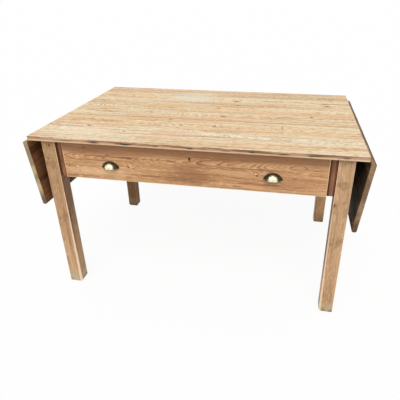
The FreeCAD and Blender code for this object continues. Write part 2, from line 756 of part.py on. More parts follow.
# Sides carry the tails of the dovetails: three half-blind at the front and two through ones at the back.
def tails(root_y, end_y, low, high, shares, root_share, end_share):
    """Corners of a column of tails, from the lowest up."""
    tall = f"({high} - {low})"
    corners = []
    for share in shares:
        middle = f"({low} + {share} * {tall})"
        corners += [(root_y, f"{middle} - {root_share} * {tall}"), (end_y, f"{middle} - {end_share} * {tall}"),
                    (end_y, f"{middle} + {end_share} * {tall}"), (root_y, f"{middle} + {root_share} * {tall}")]
    return corners


def drawer_side():
    front_tails = tails(front_in, f"({front_y} + dovetail_lap)", side_low, side_high, front_tail_shares,
                        tail_root_share, tail_end_share)
    back_tails = tails(drawer_back_in, drawer_end, panel_high, side_high, back_tail_shares,
                       back_tail_root_share, back_tail_end_share)
    corners = [(front_in, side_low)] + front_tails + [(front_in, side_high), (drawer_back_in, side_high)]
    corners += back_tails[::-1] + [(drawer_back_in, panel_high), (drawer_end, panel_high),
                                   (drawer_end, side_low)]
    return bar_body("drawer_side", "YZ_Plane", corners, side_in, "side_thick")


right_side = piece("drawer_right_side", cut("drawer_right_side", drawer_side(), [right_bottom]))
left_side = mirror("drawer_left_side", right_side)
back_board = box("drawer_back_board", (f"-{drawer_half}", drawer_half), (drawer_back_in, drawer_end),
                 (panel_high, side_high))
drawer_back = piece("drawer_back", cut("drawer_back", back_board, [right_side, left_side, muntin]))
front_board = box("drawer_front_board", (f"-{drawer_half}", drawer_half), (front_y, front_in),
                  (drawer_low, drawer_high))
front_keyhole = keyhole("front_keyhole", f"{front_y} - overrun", f"{front_in} + overrun")
drawer_front = piece("drawer_front", cut("drawer_front", front_board, [
    right_side, left_side, right_bottom, left_bottom, lock_whole, front_keyhole, lock_screw_holes,
    pull_screw_holes]))


# Top boards, front to back. The first and last have a rounded outer edge.
def top_board(number, low_y, high_y, tools):
    label = f"top_board_{number}"
    corners = [(low_y, under), (high_y, under), (high_y, "height"), (low_y, "height")]
    body = bar_body(f"{label}_wood", "YZ_Plane", corners, "-top_length / 2", "top_length")
    edge_y = {1: -sheet.top_width / 2, len(board_shares): sheet.top_width / 2}
    if number in edge_y:
        round_edges(body, f"{label}_round", "edge_round", long_edge_at("y", edge_y[number], "x"))
    return piece(label, cut(label, body, tools))


for number in range(1, len(board_shares) + 1):
    low_y = f"({sum(board_shares[:number - 1]):g} * top_width - top_width / 2)"
    high_y = f"({sum(board_shares[:number]):g} * top_width - top_width / 2)"
    tools = [top_hole_tools_both, both_sides(f"board_{number}_screw_holes", batten_screw_holes)]
    top_board(number, low_y, high_y, tools + [bolt_mortise] if number == 1 else tools)


# The four supports and the stop pegs near their inner ends.
def loper(side, sign):
    middle = f"({sign} * {loper_place})"
    stick = box(f"{side}_support_stick", ("loper_inner", loper_out),
                (f"{middle} - loper_width / 2", f"{middle} + loper_width / 2"), (loper_low, loper_high))
    place = ("loper_inner + loper_peg_inset", middle, f"{loper_low} - loper_peg_drop")
    length = "loper_peg_drop + loper_peg_sink"
    peg = piece(f"right_{side}_support_peg", rod(f"right_{side}_support_peg", "loper_peg_radius", length, place))
    hole = rod(f"{side}_support_peg_hole", "loper_peg_radius + wood_fit", f"{length} + wood_fit", place)
    support = piece(f"right_{side}_support", cut(f"{side}_support", stick, [hole]))
    mirror(f"left_{side}_support_peg", peg)
    mirror(f"left_{side}_support", support)


loper("front", -1)
loper("back", 1)

doc.recompute()

# Nothing is written unless every object is sound and every cut took something away.
faults = [thing.Label for thing in doc.Objects if {"Invalid", "Error"} & set(thing.State)]
faults += [label for label, thing in pieces.items() if thing.Shape.isNull() or not thing.Shape.isValid()]
faults += [less.Label for whole, less in trimmed if less.Shape.Volume >= whole.Shape.Volume]
faults += [label for label, thing in pieces.items() if thing.Label != label]
if faults:
    raise RuntimeError(f"These did not build: {sorted(set(faults))}")

os.makedirs("parts", exist_ok=True)
for label, thing in pieces.items():
    thing.Shape.exportStep(f"parts/{label}.step")
print(f"{len(pieces)} nodes written, {sum(len(thing.Shape.Solids) for thing in pieces.values())} solids")
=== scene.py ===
import json
import math
from functools import partialmethod

import bmesh
import bpy
from mathutils import Matrix, Vector, noise


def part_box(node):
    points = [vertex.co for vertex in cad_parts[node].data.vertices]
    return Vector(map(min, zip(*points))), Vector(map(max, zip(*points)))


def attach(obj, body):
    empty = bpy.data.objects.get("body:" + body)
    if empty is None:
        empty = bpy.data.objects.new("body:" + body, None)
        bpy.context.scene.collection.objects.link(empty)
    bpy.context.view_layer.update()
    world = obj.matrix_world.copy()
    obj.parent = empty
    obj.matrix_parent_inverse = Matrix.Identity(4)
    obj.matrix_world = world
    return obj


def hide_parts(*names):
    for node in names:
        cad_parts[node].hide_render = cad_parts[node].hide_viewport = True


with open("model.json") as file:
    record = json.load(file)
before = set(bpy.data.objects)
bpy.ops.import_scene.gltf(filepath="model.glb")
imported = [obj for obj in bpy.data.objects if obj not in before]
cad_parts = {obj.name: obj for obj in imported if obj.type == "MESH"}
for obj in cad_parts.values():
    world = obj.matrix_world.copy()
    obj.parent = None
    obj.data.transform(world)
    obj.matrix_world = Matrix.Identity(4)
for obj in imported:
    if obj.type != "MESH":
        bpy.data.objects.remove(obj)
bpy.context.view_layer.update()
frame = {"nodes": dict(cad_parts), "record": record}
nodes = frame["nodes"]
record = frame["record"]
bodyOf = {node: body for body, members in record["behaviour"]["bodies"].items() for node in members}


# Shader sums

def tint(red, green, blue):  # a colour as it is seen, 0 to 255, turned linear for the shader
    def linear(part):
        part = part / 255
        return part / 12.92 if part <= 0.04045 else ((part + 0.055) / 1.055) ** 2.4
    return (linear(red), linear(green), linear(blue), 1)


class Wire:
    # one socket of a finish, so that sums on it read as sums
    def __init__(self, finish, socket):
        self.finish, self.socket = finish, socket

    def sum(self, operation, swapped, other):
        first, second = (other, self) if swapped else (self, other)
        return self.finish.node("Math", {"operation": operation}, {0: first, 1: second})

    __add__, __radd__ = partialmethod(sum, "ADD", False), partialmethod(sum, "ADD", True)
    __sub__, __rsub__ = partialmethod(sum, "SUBTRACT", False), partialmethod(sum, "SUBTRACT", True)
    __mul__, __rmul__ = partialmethod(sum, "MULTIPLY", False), partialmethod(sum, "MULTIPLY", True)
    __truediv__, __rtruediv__ = partialmethod(sum, "DIVIDE", False), partialmethod(sum, "DIVIDE", True)
    __pow__ = partialmethod(sum, "POWER", False)


class Finish:
    # the nodes of a material or of the sky, and the few ways in which they are made
    def __init__(self, owner, shader="Principled BSDF"):
        owner.use_nodes = True
        self.owner, self.tree = owner, owner.node_tree
        self.shader = self.tree.nodes[shader]

    def node(self, kind, settings=None, inputs=None, out=0):
        made = self.tree.nodes.new("ShaderNode" + kind)
        for name, value in (settings or {}).items():
            if name == "stops":
                elements = made.color_ramp.elements
                elements[0].position, elements[1].position = value[0][0], value[-1][0]
                for place, colour in value[1:-1]:
                    elements.new(place)
                for element, (place, colour) in zip(elements, value):
                    element.color = colour
            else:
                setattr(made, name, value)
        for name, value in (inputs or {}).items():
            self.give(made.inputs[name], value)
        return Wire(self, made.outputs[out])

    def give(self, socket, value):
        if isinstance(value, Wire):
            self.tree.links.new(value.socket, socket)
        else:
            socket.default_value = value

    def shade(self, **values):
        for name, value in values.items():
            self.give(self.shader.inputs[name.replace("_", " ")], value)

    def mix(self, factor, first, second, blend="MIX"):  # of sockets, or of colours as they are seen
        first, second = (tint(*side) if isinstance(side, tuple) else side for side in (first, second))
        return self.node("Mix", {"data_type": "RGBA", "blend_type": blend},
                         {0: factor, 6: first, 7: second}, 2)

    def noise(self, vector, detail=2, rough=0.5):
        return self.node("TexNoise", {}, {"Vector": vector, "Scale": 1, "Detail": detail, "Roughness": rough})

    def cloud(self, vector, scale, detail=2, rough=0.5):  # noise of so many waves a metre
        scaled = self.node("VectorMath", {"operation": "SCALE"}, {0: vector, 3: scale})
        return self.noise(scaled, detail, rough)

    def step(self, value, low, high):  # 0 at low, 1 at high, smooth between
        return self.node("MapRange", {"interpolation_type": "SMOOTHSTEP"},
                         {"Value": value, "From Min": low, "From Max": high})

    def split(self, vector):
        first = self.node("SeparateXYZ", {}, {0: vector})
        return [Wire(self, socket) for socket in first.socket.node.outputs]

    def join(self, x, y, z):
        return self.node("CombineXYZ", {}, {0: x, 1: y, 2: z})

    def minus(self, vector, other):
        return self.node("VectorMath", {"operation": "SUBTRACT"}, {0: vector, 1: other})

    def least(self, first, second):
        return self.node("Math", {"operation": "MINIMUM"}, {0: first, 1: second})

    def most(self, first, second):
        return self.node("Math", {"operation": "MAXIMUM"}, {0: first, 1: second})

    def size(self, value):
        return self.node("Math", {"operation": "ABSOLUTE"}, {0: value})

    def length(self, vector):
        return self.node("VectorMath", {"operation": "LENGTH"}, {0: vector}, 1)

    def bump(self, height, strength, distance):
        return self.node("Bump", {}, {"Height": height, "Strength": strength, "Distance": distance})


# Pine. Growth rings lie round a heart line that runs the length of the board and wanders a little,
# so that faces, edges and ends show one and the same timber.

pineBasics = {
    "axes": "xyz",  # along the grain, across the board, through it
    "pivot": (0, 0, 0), "turn": 0, "centre": (0, 0, 0), "seed": 0,
    # the heart line's place, lean and wandering, and the growth rings round it, in metres
    "heart": (0.0, -0.05), "lean": (0.01, 0.03), "drift": 0.03, "bend": 1.6,
    "taper": 0.0, "swell": (0.006, 3.0), "ring": 0.0024, "jitter": 1.2,
    # colours, how strongly they show, and the levels of their patterns at which they begin and are full
    "light": (232, 204, 156), "honey": (214, 176, 122), "toneLevel": (0.36, 0.66),
    "late": (176, 126, 76), "contrast": 0.55,
    "streak": (188, 132, 80), "streaks": 0.35, "streakLevel": (0.56, 0.70),
    "blush": (236, 190, 146), "blushes": 0.0, "blushLevel": (0.46, 0.62),
    "fleck": (150, 108, 66), "flecks": 0.25, "fleckLevel": (0.6, 0.72),
    "glint": (255, 246, 214), "glints": 0.0, "glintLevel": (0.56, 0.68),
    "grimeColour": (176, 140, 100), "grime": 0.2, "grimeLevel": (0.5, 0.68), "patchScale": 11,
    "worn": (236, 206, 160), "wear": 0.7, "rubLevel": (0.3, 0.55), "slanted": 0,
    "dirt": (96, 66, 42), "dirtiness": 0.85,
    # knots: along, across, size, strength    marks: along, across, half length, half width, colour, strength
    # holes: along, across, size              ends: half length, colour, strength, reach
    "knot": (110, 66, 36), "knots": [], "marks": [], "holes": [], "ends": None, "bands": [],
    "gloss": 0.5, "rough": 0.58, "fibreRough": 0.16, "relief": 0.5, "reliefDepth": 0.0009,
}
pinePatterns = {  # waves a metre along and across the grain, layers of detail, shift
    "jitter": (6, 70, 2, 2.4), "fibre": (14, 900, 2, 9.2), "tone": (1.3, 26, 3, 4.4),
    "streak": (2.6, 95, 4, 6.8), "blush": (0.9, 15, 2, 16.1), "fleck": (38, 260, 2, 8.5),
    "glint": (30, 210, 2, 15.5), "pores": (30, 260, 2, 3.9), "rub": (12, 30, 2, 11.0),
    "knot": (60, 120, 1, 3.3), "hole": (140, 160, 2, 19.0), "holeRim": (70, 90, 2, 20.0),
    "end": (20, 140, 3, 18.0), "fray": (3, 60, 2, 12.5), "band": (9, 200, 3, 21.0),
    "mark": (20, 160, 3, 14.0), "edgeMark": (25, 250, 3, 14.0),
}
wander = {"waves": 4, "acrossShift": 1.7, "deepShift": 5.1}  # of the heart line
patchy = {"detail": 3, "shift": 23.0, "level": (0.44, 0.6)}  # of a band that comes and goes
grimeNoise, swellNoise = (5, 0.62), (2, 0.6)  # layers of detail, roughness
yearStops = [  # early to late wood within one year
    (0.0, (0.1, 0.1, 0.1, 1)), (0.12, (0, 0, 0, 1)), (0.5, (0.18, 0.18, 0.18, 1)), (0.86, (1, 1, 1, 1)),
    (1.0, (0.1, 0.1, 0.1, 1)),
]
palestYear = 0.35  # how dark the palest ring is beside the darkest
seedStep = 7.3     # how far apart two seeds lie in the noise
uneven = {"band": (0.75, 0.5), "end": (0.6, 0.8)}  # least strength of a stripe, and what its pattern adds
fibreShade = {"pale": (255, 255, 255), "dark": (178, 166, 150), "strength": 0.3}
reliefShares = {"late": 0.5, "fibre": 0.6, "pores": 0.4}
# in sizes of the knot: how far off it bends the rings, how much it pushes them out, and its length
knotShape = {"reach": (3.4, 1.7), "push": 1.5, "length": 1.35, "level": (1.25, 0.6), "rimLevel": (2.8, 0.9),
             "ragged": 0.5, "rimStrength": 0.5}
# a pale filling inside a broken dark rim
holeShape = {"ragged": 1.3, "rimLevel": (0.5, 0.1), "brokenLevel": (0.42, 0.56), "rimStrength": 0.75,
             "level": (1.0, 0.6), "strength": 0.4}
markShape = {"pattern": "mark", "ragged": 1.6, "level": (1.15, 0.2)}
edgeMarkShape = {"pattern": "edgeMark", "ragged": 1.4, "level": (1.2, 0.3)}
chamferLevel = (0.3, 0.45)


class Pine(Finish):
    def __init__(self, name, look):
        super().__init__(bpy.data.materials.new(name))
        self.look, self.seed = look, look["seed"] * seedStep
        place = self.minus(self.node("TexCoord", out=3), look["pivot"])
        if look["turn"]:
            place = self.node("Mapping", {"vector_type": "POINT"},
                              {"Vector": place, "Rotation": (0, look["turn"], 0)})
        self.place = self.minus(place, look["centre"])
        byAxis = dict(zip("xyz", self.split(self.place)))
        self.along, self.across, self.deep = (byAxis[axis] for axis in look["axes"])

    def waves(self, lengthwise, crosswise, detail, shift):
        return self.noise(self.join(self.along * lengthwise + (self.seed + shift), self.across * crosswise + shift,
                                    self.deep * crosswise + self.seed), detail)

    def grain(self, pattern):
        return self.waves(*pinePatterns[pattern])

    def share(self, pattern):
        least, more = uneven[pattern]
        return least + more * self.grain(pattern)

    def heartDistance(self):  # straight from the heart line, before any knot
        look = self.look
        (heartAcross, heartDeep), (leanAcross, leanDeep) = look["heart"], look["lean"]
        acrossWave = self.waves(look["bend"], wander["waves"], 1, wander["acrossShift"]) - 0.5
        deepWave = self.waves(look["bend"], wander["waves"], 1, wander["deepShift"]) - 0.5
        side = self.across + acrossWave * look["drift"] - (self.along * leanAcross + heartAcross)
        sunk = self.deep + deepWave * (2 * look["drift"]) - (self.along * leanDeep + heartDeep)
        return self.length(self.join(side, sunk, 0))

    def knots(self, radius):  # the distance pushed outward round each knot, and masks of the knots and their rims
        core, rim = None, None
        longReach, wideReach = knotShape["reach"]
        for alongKnot, acrossKnot, size, strength in self.look["knots"]:
            goesAlong, goesAcross = self.along - alongKnot, self.across - acrossKnot
            near = self.length(self.join(goesAlong / (longReach * size), goesAcross / (wideReach * size), 0))
            radius = radius + (knotShape["push"] * size) / (1 + near ** 4)
            ring = self.length(self.join(goesAlong / (knotShape["length"] * size), goesAcross / size, 0)) \
                + (self.grain("knot") - 0.5) * knotShape["ragged"]
            newCore = self.step(ring, *knotShape["level"]) * strength
            newRim = self.step(ring, *knotShape["rimLevel"]) * strength
            core = self.most(core, newCore) if core else newCore
            rim = self.most(rim, newRim) if rim else newRim
        return radius, core, rim

    def lateWood(self, radius):
        look = self.look
        rise, pace = look["swell"]
        swell = (self.noise(self.join(self.along * pace + self.seed, self.seed, 0), *swellNoise) - 0.5) * rise
        turns = (radius + self.along * look["taper"] + swell) / look["ring"] + self.grain("jitter") * look["jitter"]
        count = self.node("Math", {"operation": "FLOOR"}, {0: turns})
        part = self.node("Math", {"operation": "FRACT"}, {0: turns})
        yearly = self.node("TexWhiteNoise", {"noise_dimensions": "1D"}, {"W": count + self.seed})
        late = self.node("RGBToBW", {}, {0: self.node("ValToRGB", {"stops": yearStops}, {0: part})})
        return late * (palestYear + (1 - palestYear) * yearly)

    def timber(self, late, fibre):  # the colour of clean wood
        look = self.look
        colour = self.mix(self.step(self.grain("tone"), *look["toneLevel"]), look["light"], look["honey"])
        colour = self.mix(late * look["contrast"], colour, look["late"])
        for name, amount in (("streak", "streaks"), ("blush", "blushes"), ("fleck", "flecks"), ("glint", "glints")):
            if look[amount]:
                mask = self.step(self.grain(name), *look[name + "Level"])
                colour = self.mix(mask * look[amount], colour, look[name])
        return self.mix(fibreShade["strength"], colour, self.mix(fibre, fibreShade["dark"], fibreShade["pale"]),
                        "MULTIPLY")

    def stains(self, colour, marks, crosswise, shape, within=1.0):
        for alongMark, acrossMark, halfLength, halfWidth, markColour, strength in marks:
            ring = self.length(self.join((self.along - alongMark) / halfLength,
                                         (crosswise - acrossMark) / halfWidth, 0))
            spot = self.step(ring + (self.grain(shape["pattern"]) - 0.5) * shape["ragged"], *shape["level"])
            colour = self.mix(spot * (within * strength), colour, markColour)
        return colour

    def bands(self, colour):  # stripes by place on the board, such as an edge or the underside
        sides = {"along": self.along, "across": self.across, "deep": self.deep}
        for band in self.look["bands"]:
            frayed = sides[band["by"]] + (self.grain("fray") - 0.5) * band["fray"]
            mask = self.step(frayed, *band["span"])
            if "within" in band:
                side, centre, outerLimit, innerLimit = band["within"]
                mask = mask * self.step(self.size(sides[side] - centre), outerLimit, innerLimit)
            if "patchy" in band:
                patch = self.waves(*band["patchy"], patchy["detail"], patchy["shift"])
                mask = mask * self.step(patch, *patchy["level"])
            if band["colour"]:
                colour = self.mix(mask * band["strength"] * self.share("band"), colour, band["colour"])
            colour = self.stains(colour, band.get("marks", []), self.deep, edgeMarkShape, mask)
        return colour

    def holes(self, colour):
        for alongHole, acrossHole, size in self.look["holes"]:
            ring = self.length(self.join(self.along - alongHole, self.across - acrossHole, 0)) / size \
                + (self.grain("hole") - 0.5) * holeShape["ragged"]
            rim = self.step(self.size(ring - 1), *holeShape["rimLevel"]) \
                * self.step(self.grain("holeRim"), *holeShape["brokenLevel"])
            colour = self.mix(self.step(ring, *holeShape["level"]) * holeShape["strength"], colour,
                              self.look["glint"])
            colour = self.mix(rim * holeShape["rimStrength"], colour, self.look["late"])
        return colour

    def ends(self, colour):
        halfLength, endColour, strength, reach = self.look["ends"]
        mask = self.step(self.size(self.along), halfLength - reach, halfLength - reach / 3)
        return self.mix(mask * strength * self.share("end"), colour, endColour)

    def arrises(self, colour):  # rubbed where they stand free, dirty where they meet another board
        look = self.look
        arris = self.node("Attribute", {"attribute_name": "arris"}, out=2)
        worn = self.most(arris, 0.0)
        if look["slanted"]:  # the chamfered corner of a leg
            faces = self.split(self.node("TexCoord", out=1))
            chamfer = self.step(self.size(faces[0] * faces[1]), *chamferLevel)
            worn = self.most(worn, chamfer * look["slanted"])
        wearAndHighlight = self.step(self.grain("rub"), *look["rubLevel"])
        colour = self.mix(worn * wearAndHighlight * look["wear"], colour, look["worn"])
        return self.mix(self.most(0.0 - arris, 0.0) * look["dirtiness"], colour, look["dirt"])


def pine(name, **changes):
    look = {**pineBasics, **changes}
    made = Pine(name, look)
    radius, core, rim = made.knots(made.heartDistance())
    late, fibre = made.lateWood(radius), made.grain("fibre")
    grime = made.step(made.cloud(made.place, look["patchScale"], *grimeNoise), *look["grimeLevel"])
    colour = made.mix(grime * look["grime"], made.timber(late, fibre), look["grimeColour"])
    colour = made.stains(made.bands(colour), look["marks"], made.across, markShape)
    colour = made.holes(colour)
    if core:
        colour = made.mix(rim * knotShape["rimStrength"], colour, look["late"])
        colour = made.mix(core, colour, look["knot"])
    if look["ends"]:
        colour = made.ends(colour)
    height = late * reliefShares["late"] + fibre * reliefShares["fibre"] \
        + made.grain("pores") * reliefShares["pores"]
    made.shade(Base_Color=made.arrises(colour), Roughness=look["rough"] + (fibre - 0.5) * look["fibreRough"],
               Specular_IOR_Level=look["gloss"], Normal=made.bump(height, look["relief"], look["reliefDepth"]))
    return made.owner


metalBasics = {
    "clean": (150, 146, 138), "dull": (92, 88, 82), "dullLevel": (0.35, 0.62), "metallic": 0.9,
    "rust": (96, 60, 40), "rusting": 0.2, "rustLevel": (0.52, 0.7), "rough": 0.42, "pitRough": 0.2,
    "cloudScale": 160, "cloudDetail": 4, "pitScale": 1120, "relief": 0.25, "reliefDepth": 0.0004,
}


def metal(name, **changes):
    look = {**metalBasics, **changes}
    made = Finish(bpy.data.materials.new(name))
    place = made.node("TexCoord", out=3)
    cloud, pits = made.cloud(place, look["cloudScale"], look["cloudDetail"]), made.cloud(place, look["pitScale"])
    rusty = made.step(cloud, *look["rustLevel"]) * look["rusting"]
    colour = made.mix(made.step(cloud, *look["dullLevel"]), look["clean"], look["dull"])
    made.shade(Base_Color=made.mix(rusty, colour, look["rust"]), Roughness=look["rough"] + pits * look["pitRough"],
               Metallic=look["metallic"] * (1 - rusty), Normal=made.bump(pits, look["relief"], look["reliefDepth"]))
    return made.owner


# Copies of the CAD pieces

meshLimits = {"double": 0.000002, "cut": 0.00001, "fineCut": 0.000001, "flat": 0.01}  # metres, and radians


def cleanCopy(node, pose=Matrix()):  # a node's triangles, merged into faces, in the pose's own frame
    mesh = nodes[node].data.copy()
    mesh.materials.clear()
    shape = bmesh.new()
    shape.from_mesh(mesh)
    bmesh.ops.transform(shape, matrix=pose.inverted(), verts=shape.verts)
    bmesh.ops.remove_doubles(shape, verts=shape.verts, dist=meshLimits["double"])
    bmesh.ops.dissolve_limit(shape, angle_limit=meshLimits["flat"], verts=shape.verts, edges=shape.edges)
    return mesh, shape


def standIn(mesh, node, kind, finish):  # puts a mesh in the node's place
    mesh.materials.append(finish)
    piece = bpy.data.objects.new(f"{node}_{kind}", mesh)
    bpy.context.scene.collection.objects.link(piece)
    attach(piece, bodyOf[node])
    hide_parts(node)


def cutThrough(shape, place, normal, clearOuter=False):
    bmesh.ops.bisect_plane(shape, geom=shape.verts[:] + shape.edges[:] + shape.faces[:], dist=meshLimits["cut"],
                           plane_co=place, plane_no=normal, clear_outer=clearOuter)


def rounded(shape, edges, width):
    bmesh.ops.bevel(shape, geom=edges, offset=width, offset_type="OFFSET", segments=3, profile=0.5,
                    affect="EDGES", clamp_overlap=True, material=-1)


def refinish(node, finish):
    for slot in nodes[node].material_slots:
        slot.material = finish


def middle(node):
    low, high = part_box(node)
    return tuple((low + high) / 2)


# Worn copies of the timber pieces

wornShape = {
    "onSide": 0.0025,     # an edge this near two sides of the board's box is an arris
    "sharp": 0.9,         # radians that its faces turn by, or more
    "narrow": 0.0032,     # faces under this width belong to the arrises
    "joinReach": 0.002,
    "rowStep": 0.05,      # cuts along the board, so that an arris can be rubbed unevenly
    "rubWaves": (23, 71), "rubShare": 0.5, "rubLeast": 0.25,
    "heelLevel": 0.0001, "heelReach": 0.004,
}


def rubFoot(shape, node, foot):  # draws the sole in and lifts its edge
    low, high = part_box(node)
    heel = [vert for vert in shape.verts if vert.co.z < wornShape["heelLevel"]]
    edge = [vert for vert in shape.verts if wornShape["heelLevel"] < vert.co.z < wornShape["heelReach"]]
    bmesh.ops.translate(shape, vec=(0, 0, foot), verts=edge)
    toLeg = Matrix.Translation(((low.x + high.x) / -2, (low.y + high.y) / -2, 0))
    drawnIn = (1 - foot * 2 / (high.x - low.x), 1 - foot * 2 / (high.y - low.y), 1)
    bmesh.ops.scale(shape, vec=drawnIn, space=toLeg, verts=heel)


def wornCopy(node, finish, ease=0.0012, least=0.03, wear=0.0005, joints=(), pose=Matrix(), foot=0):
    # ease: width taken off the arrises, least: the shortest edge that is eased, wear: depth rubbed off them,
    # joints: sides that meet another board, pose: where the board lies, foot: how far the sole is rubbed round
    mesh, shape = cleanCopy(node, pose)
    if foot:
        rubFoot(shape, node, foot)
    corners = [vert.co for vert in shape.verts]
    low = Vector([min(co[axis] for co in corners) for axis in range(3)])
    high = Vector([max(co[axis] for co in corners) for axis in range(3)])

    def isArris(edge):
        sides = 0
        for axis in range(3):
            for limit in (low[axis], high[axis]):
                sides += all(abs(vert.co[axis] - limit) < wornShape["onSide"] for vert in edge.verts)
        return sides >= 2 and edge.calc_length() > least and edge.is_manifold \
            and edge.calc_face_angle() > wornShape["sharp"]

    rounded(shape, [edge for edge in shape.edges if isArris(edge)], ease)
    arris = shape.verts.layers.float.new("arris")
    narrow = set()
    for face in shape.faces:
        face.smooth = face.calc_area() / max(edge.calc_length() for edge in face.edges) < wornShape["narrow"]
        if face.smooth:
            narrow.add(face)
    for vert in shape.verts:
        if vert.link_faces and all(face in narrow for face in vert.link_faces):
            gaps = [abs(vert.co[axis] - (low, high)[end][axis]) for axis, end in joints]
            vert[arris] = -1 if any(gap < wornShape["joinReach"] for gap in gaps) else 1
    longAxis = max(range(3), key=lambda axis: high[axis] - low[axis])
    span = high[longAxis] - low[longAxis]
    normal = Vector([1 if axis == longAxis else 0 for axis in range(3)])
    rows = int(span / wornShape["rowStep"])
    for row in range(1, rows):
        cutThrough(shape, low + normal * (row * span / rows), normal)
    shape.normal_update()
    coarse, fine = wornShape["rubWaves"]
    for vert in shape.verts:
        if vert[arris] > 0.9:
            rub = noise.noise(vert.co * coarse) + wornShape["rubShare"] * noise.noise(vert.co * fine)
            vert.co -= vert.normal * wear * max(0.0, rub + wornShape["rubLeast"])
    bmesh.ops.transform(shape, matrix=pose, verts=shape.verts)
    shape.to_mesh(mesh)
    shape.free()
    standIn(mesh, node, "worn", finish)


def stripe(by, span, fray, strength=0, colour=None, **more):  # a band for a board's look, by place on the board
    return {"by": by, "span": span, "fray": fray, "strength": strength, "colour": colour, **more}


# Top: six scrubbed boards

topLook = {
    "light": (255, 245, 212), "honey": (254, 223, 172), "late": (170, 116, 66), "contrast": 0.95,
    "worn": (255, 240, 208), "wear": 0.8, "rough": 0.6, "gloss": 0.4, "relief": 0.6,
    "streak": (206, 150, 94), "streaks": 0.9, "streakLevel": (0.52, 0.62),
    "fleck": (156, 108, 64), "flecks": 0.85, "fleckLevel": (0.58, 0.68),
    "glint": (255, 241, 208), "glints": 0.85, "blush": (246, 202, 158), "blushes": 0.4,
    "ring": 0.0023, "swell": (0.010, 3.2), "jitter": 1.6,
    "grime": 0.3, "grimeColour": (228, 194, 146), "patchScale": 7,
}
grey, brown, dark = (228, 222, 200), (194, 138, 86), (84, 56, 34)
stain = (48, 36, 28)
underside = stripe("deep", (-0.0075, -0.0095), 0.001, 0.85, (142, 104, 70))
# the front edge is darker, most in its upper half, with old stains along it
edgeFace = stripe("across", (-0.0918, -0.0938), 0.001, within=("deep", -0.0005, 0.0085, 0.0065))
frontEdge = {**edgeFace, "strength": 0.75, "colour": (204, 164, 126)}
upperEdge = {**edgeFace, "within": ("deep", 0.0034, 0.0070, 0.0040), "strength": 0.6, "colour": (158, 112, 78)}
edgeGrime = {**upperEdge, "strength": 0.85, "colour": (120, 76, 48), "patchy": (9, 60)}
edgeStains = {**edgeFace, "marks": [
    (-0.52, 0.0, 0.050, 0.003, stain, 0.5), (-0.380, 0.0, 0.030, 0.0045, stain, 0.9),
    (-0.250, 0.0, 0.028, 0.0045, stain, 0.95), (-0.125, 0.001, 0.014, 0.003, stain, 0.8),
    (0.012, 0.0, 0.020, 0.004, stain, 0.95), (0.060, 0.001, 0.030, 0.003, stain, 0.5),
    (0.152, 0.0, 0.022, 0.0035, stain, 0.85), (0.251, 0.0, 0.018, 0.0035, stain, 0.9),
    (0.368, 0.0, 0.024, 0.0035, stain, 0.9), (0.475, 0.0, 0.030, 0.0035, stain, 0.9),
    (0.592, 0.0, 0.020, 0.003, stain, 0.85)]}
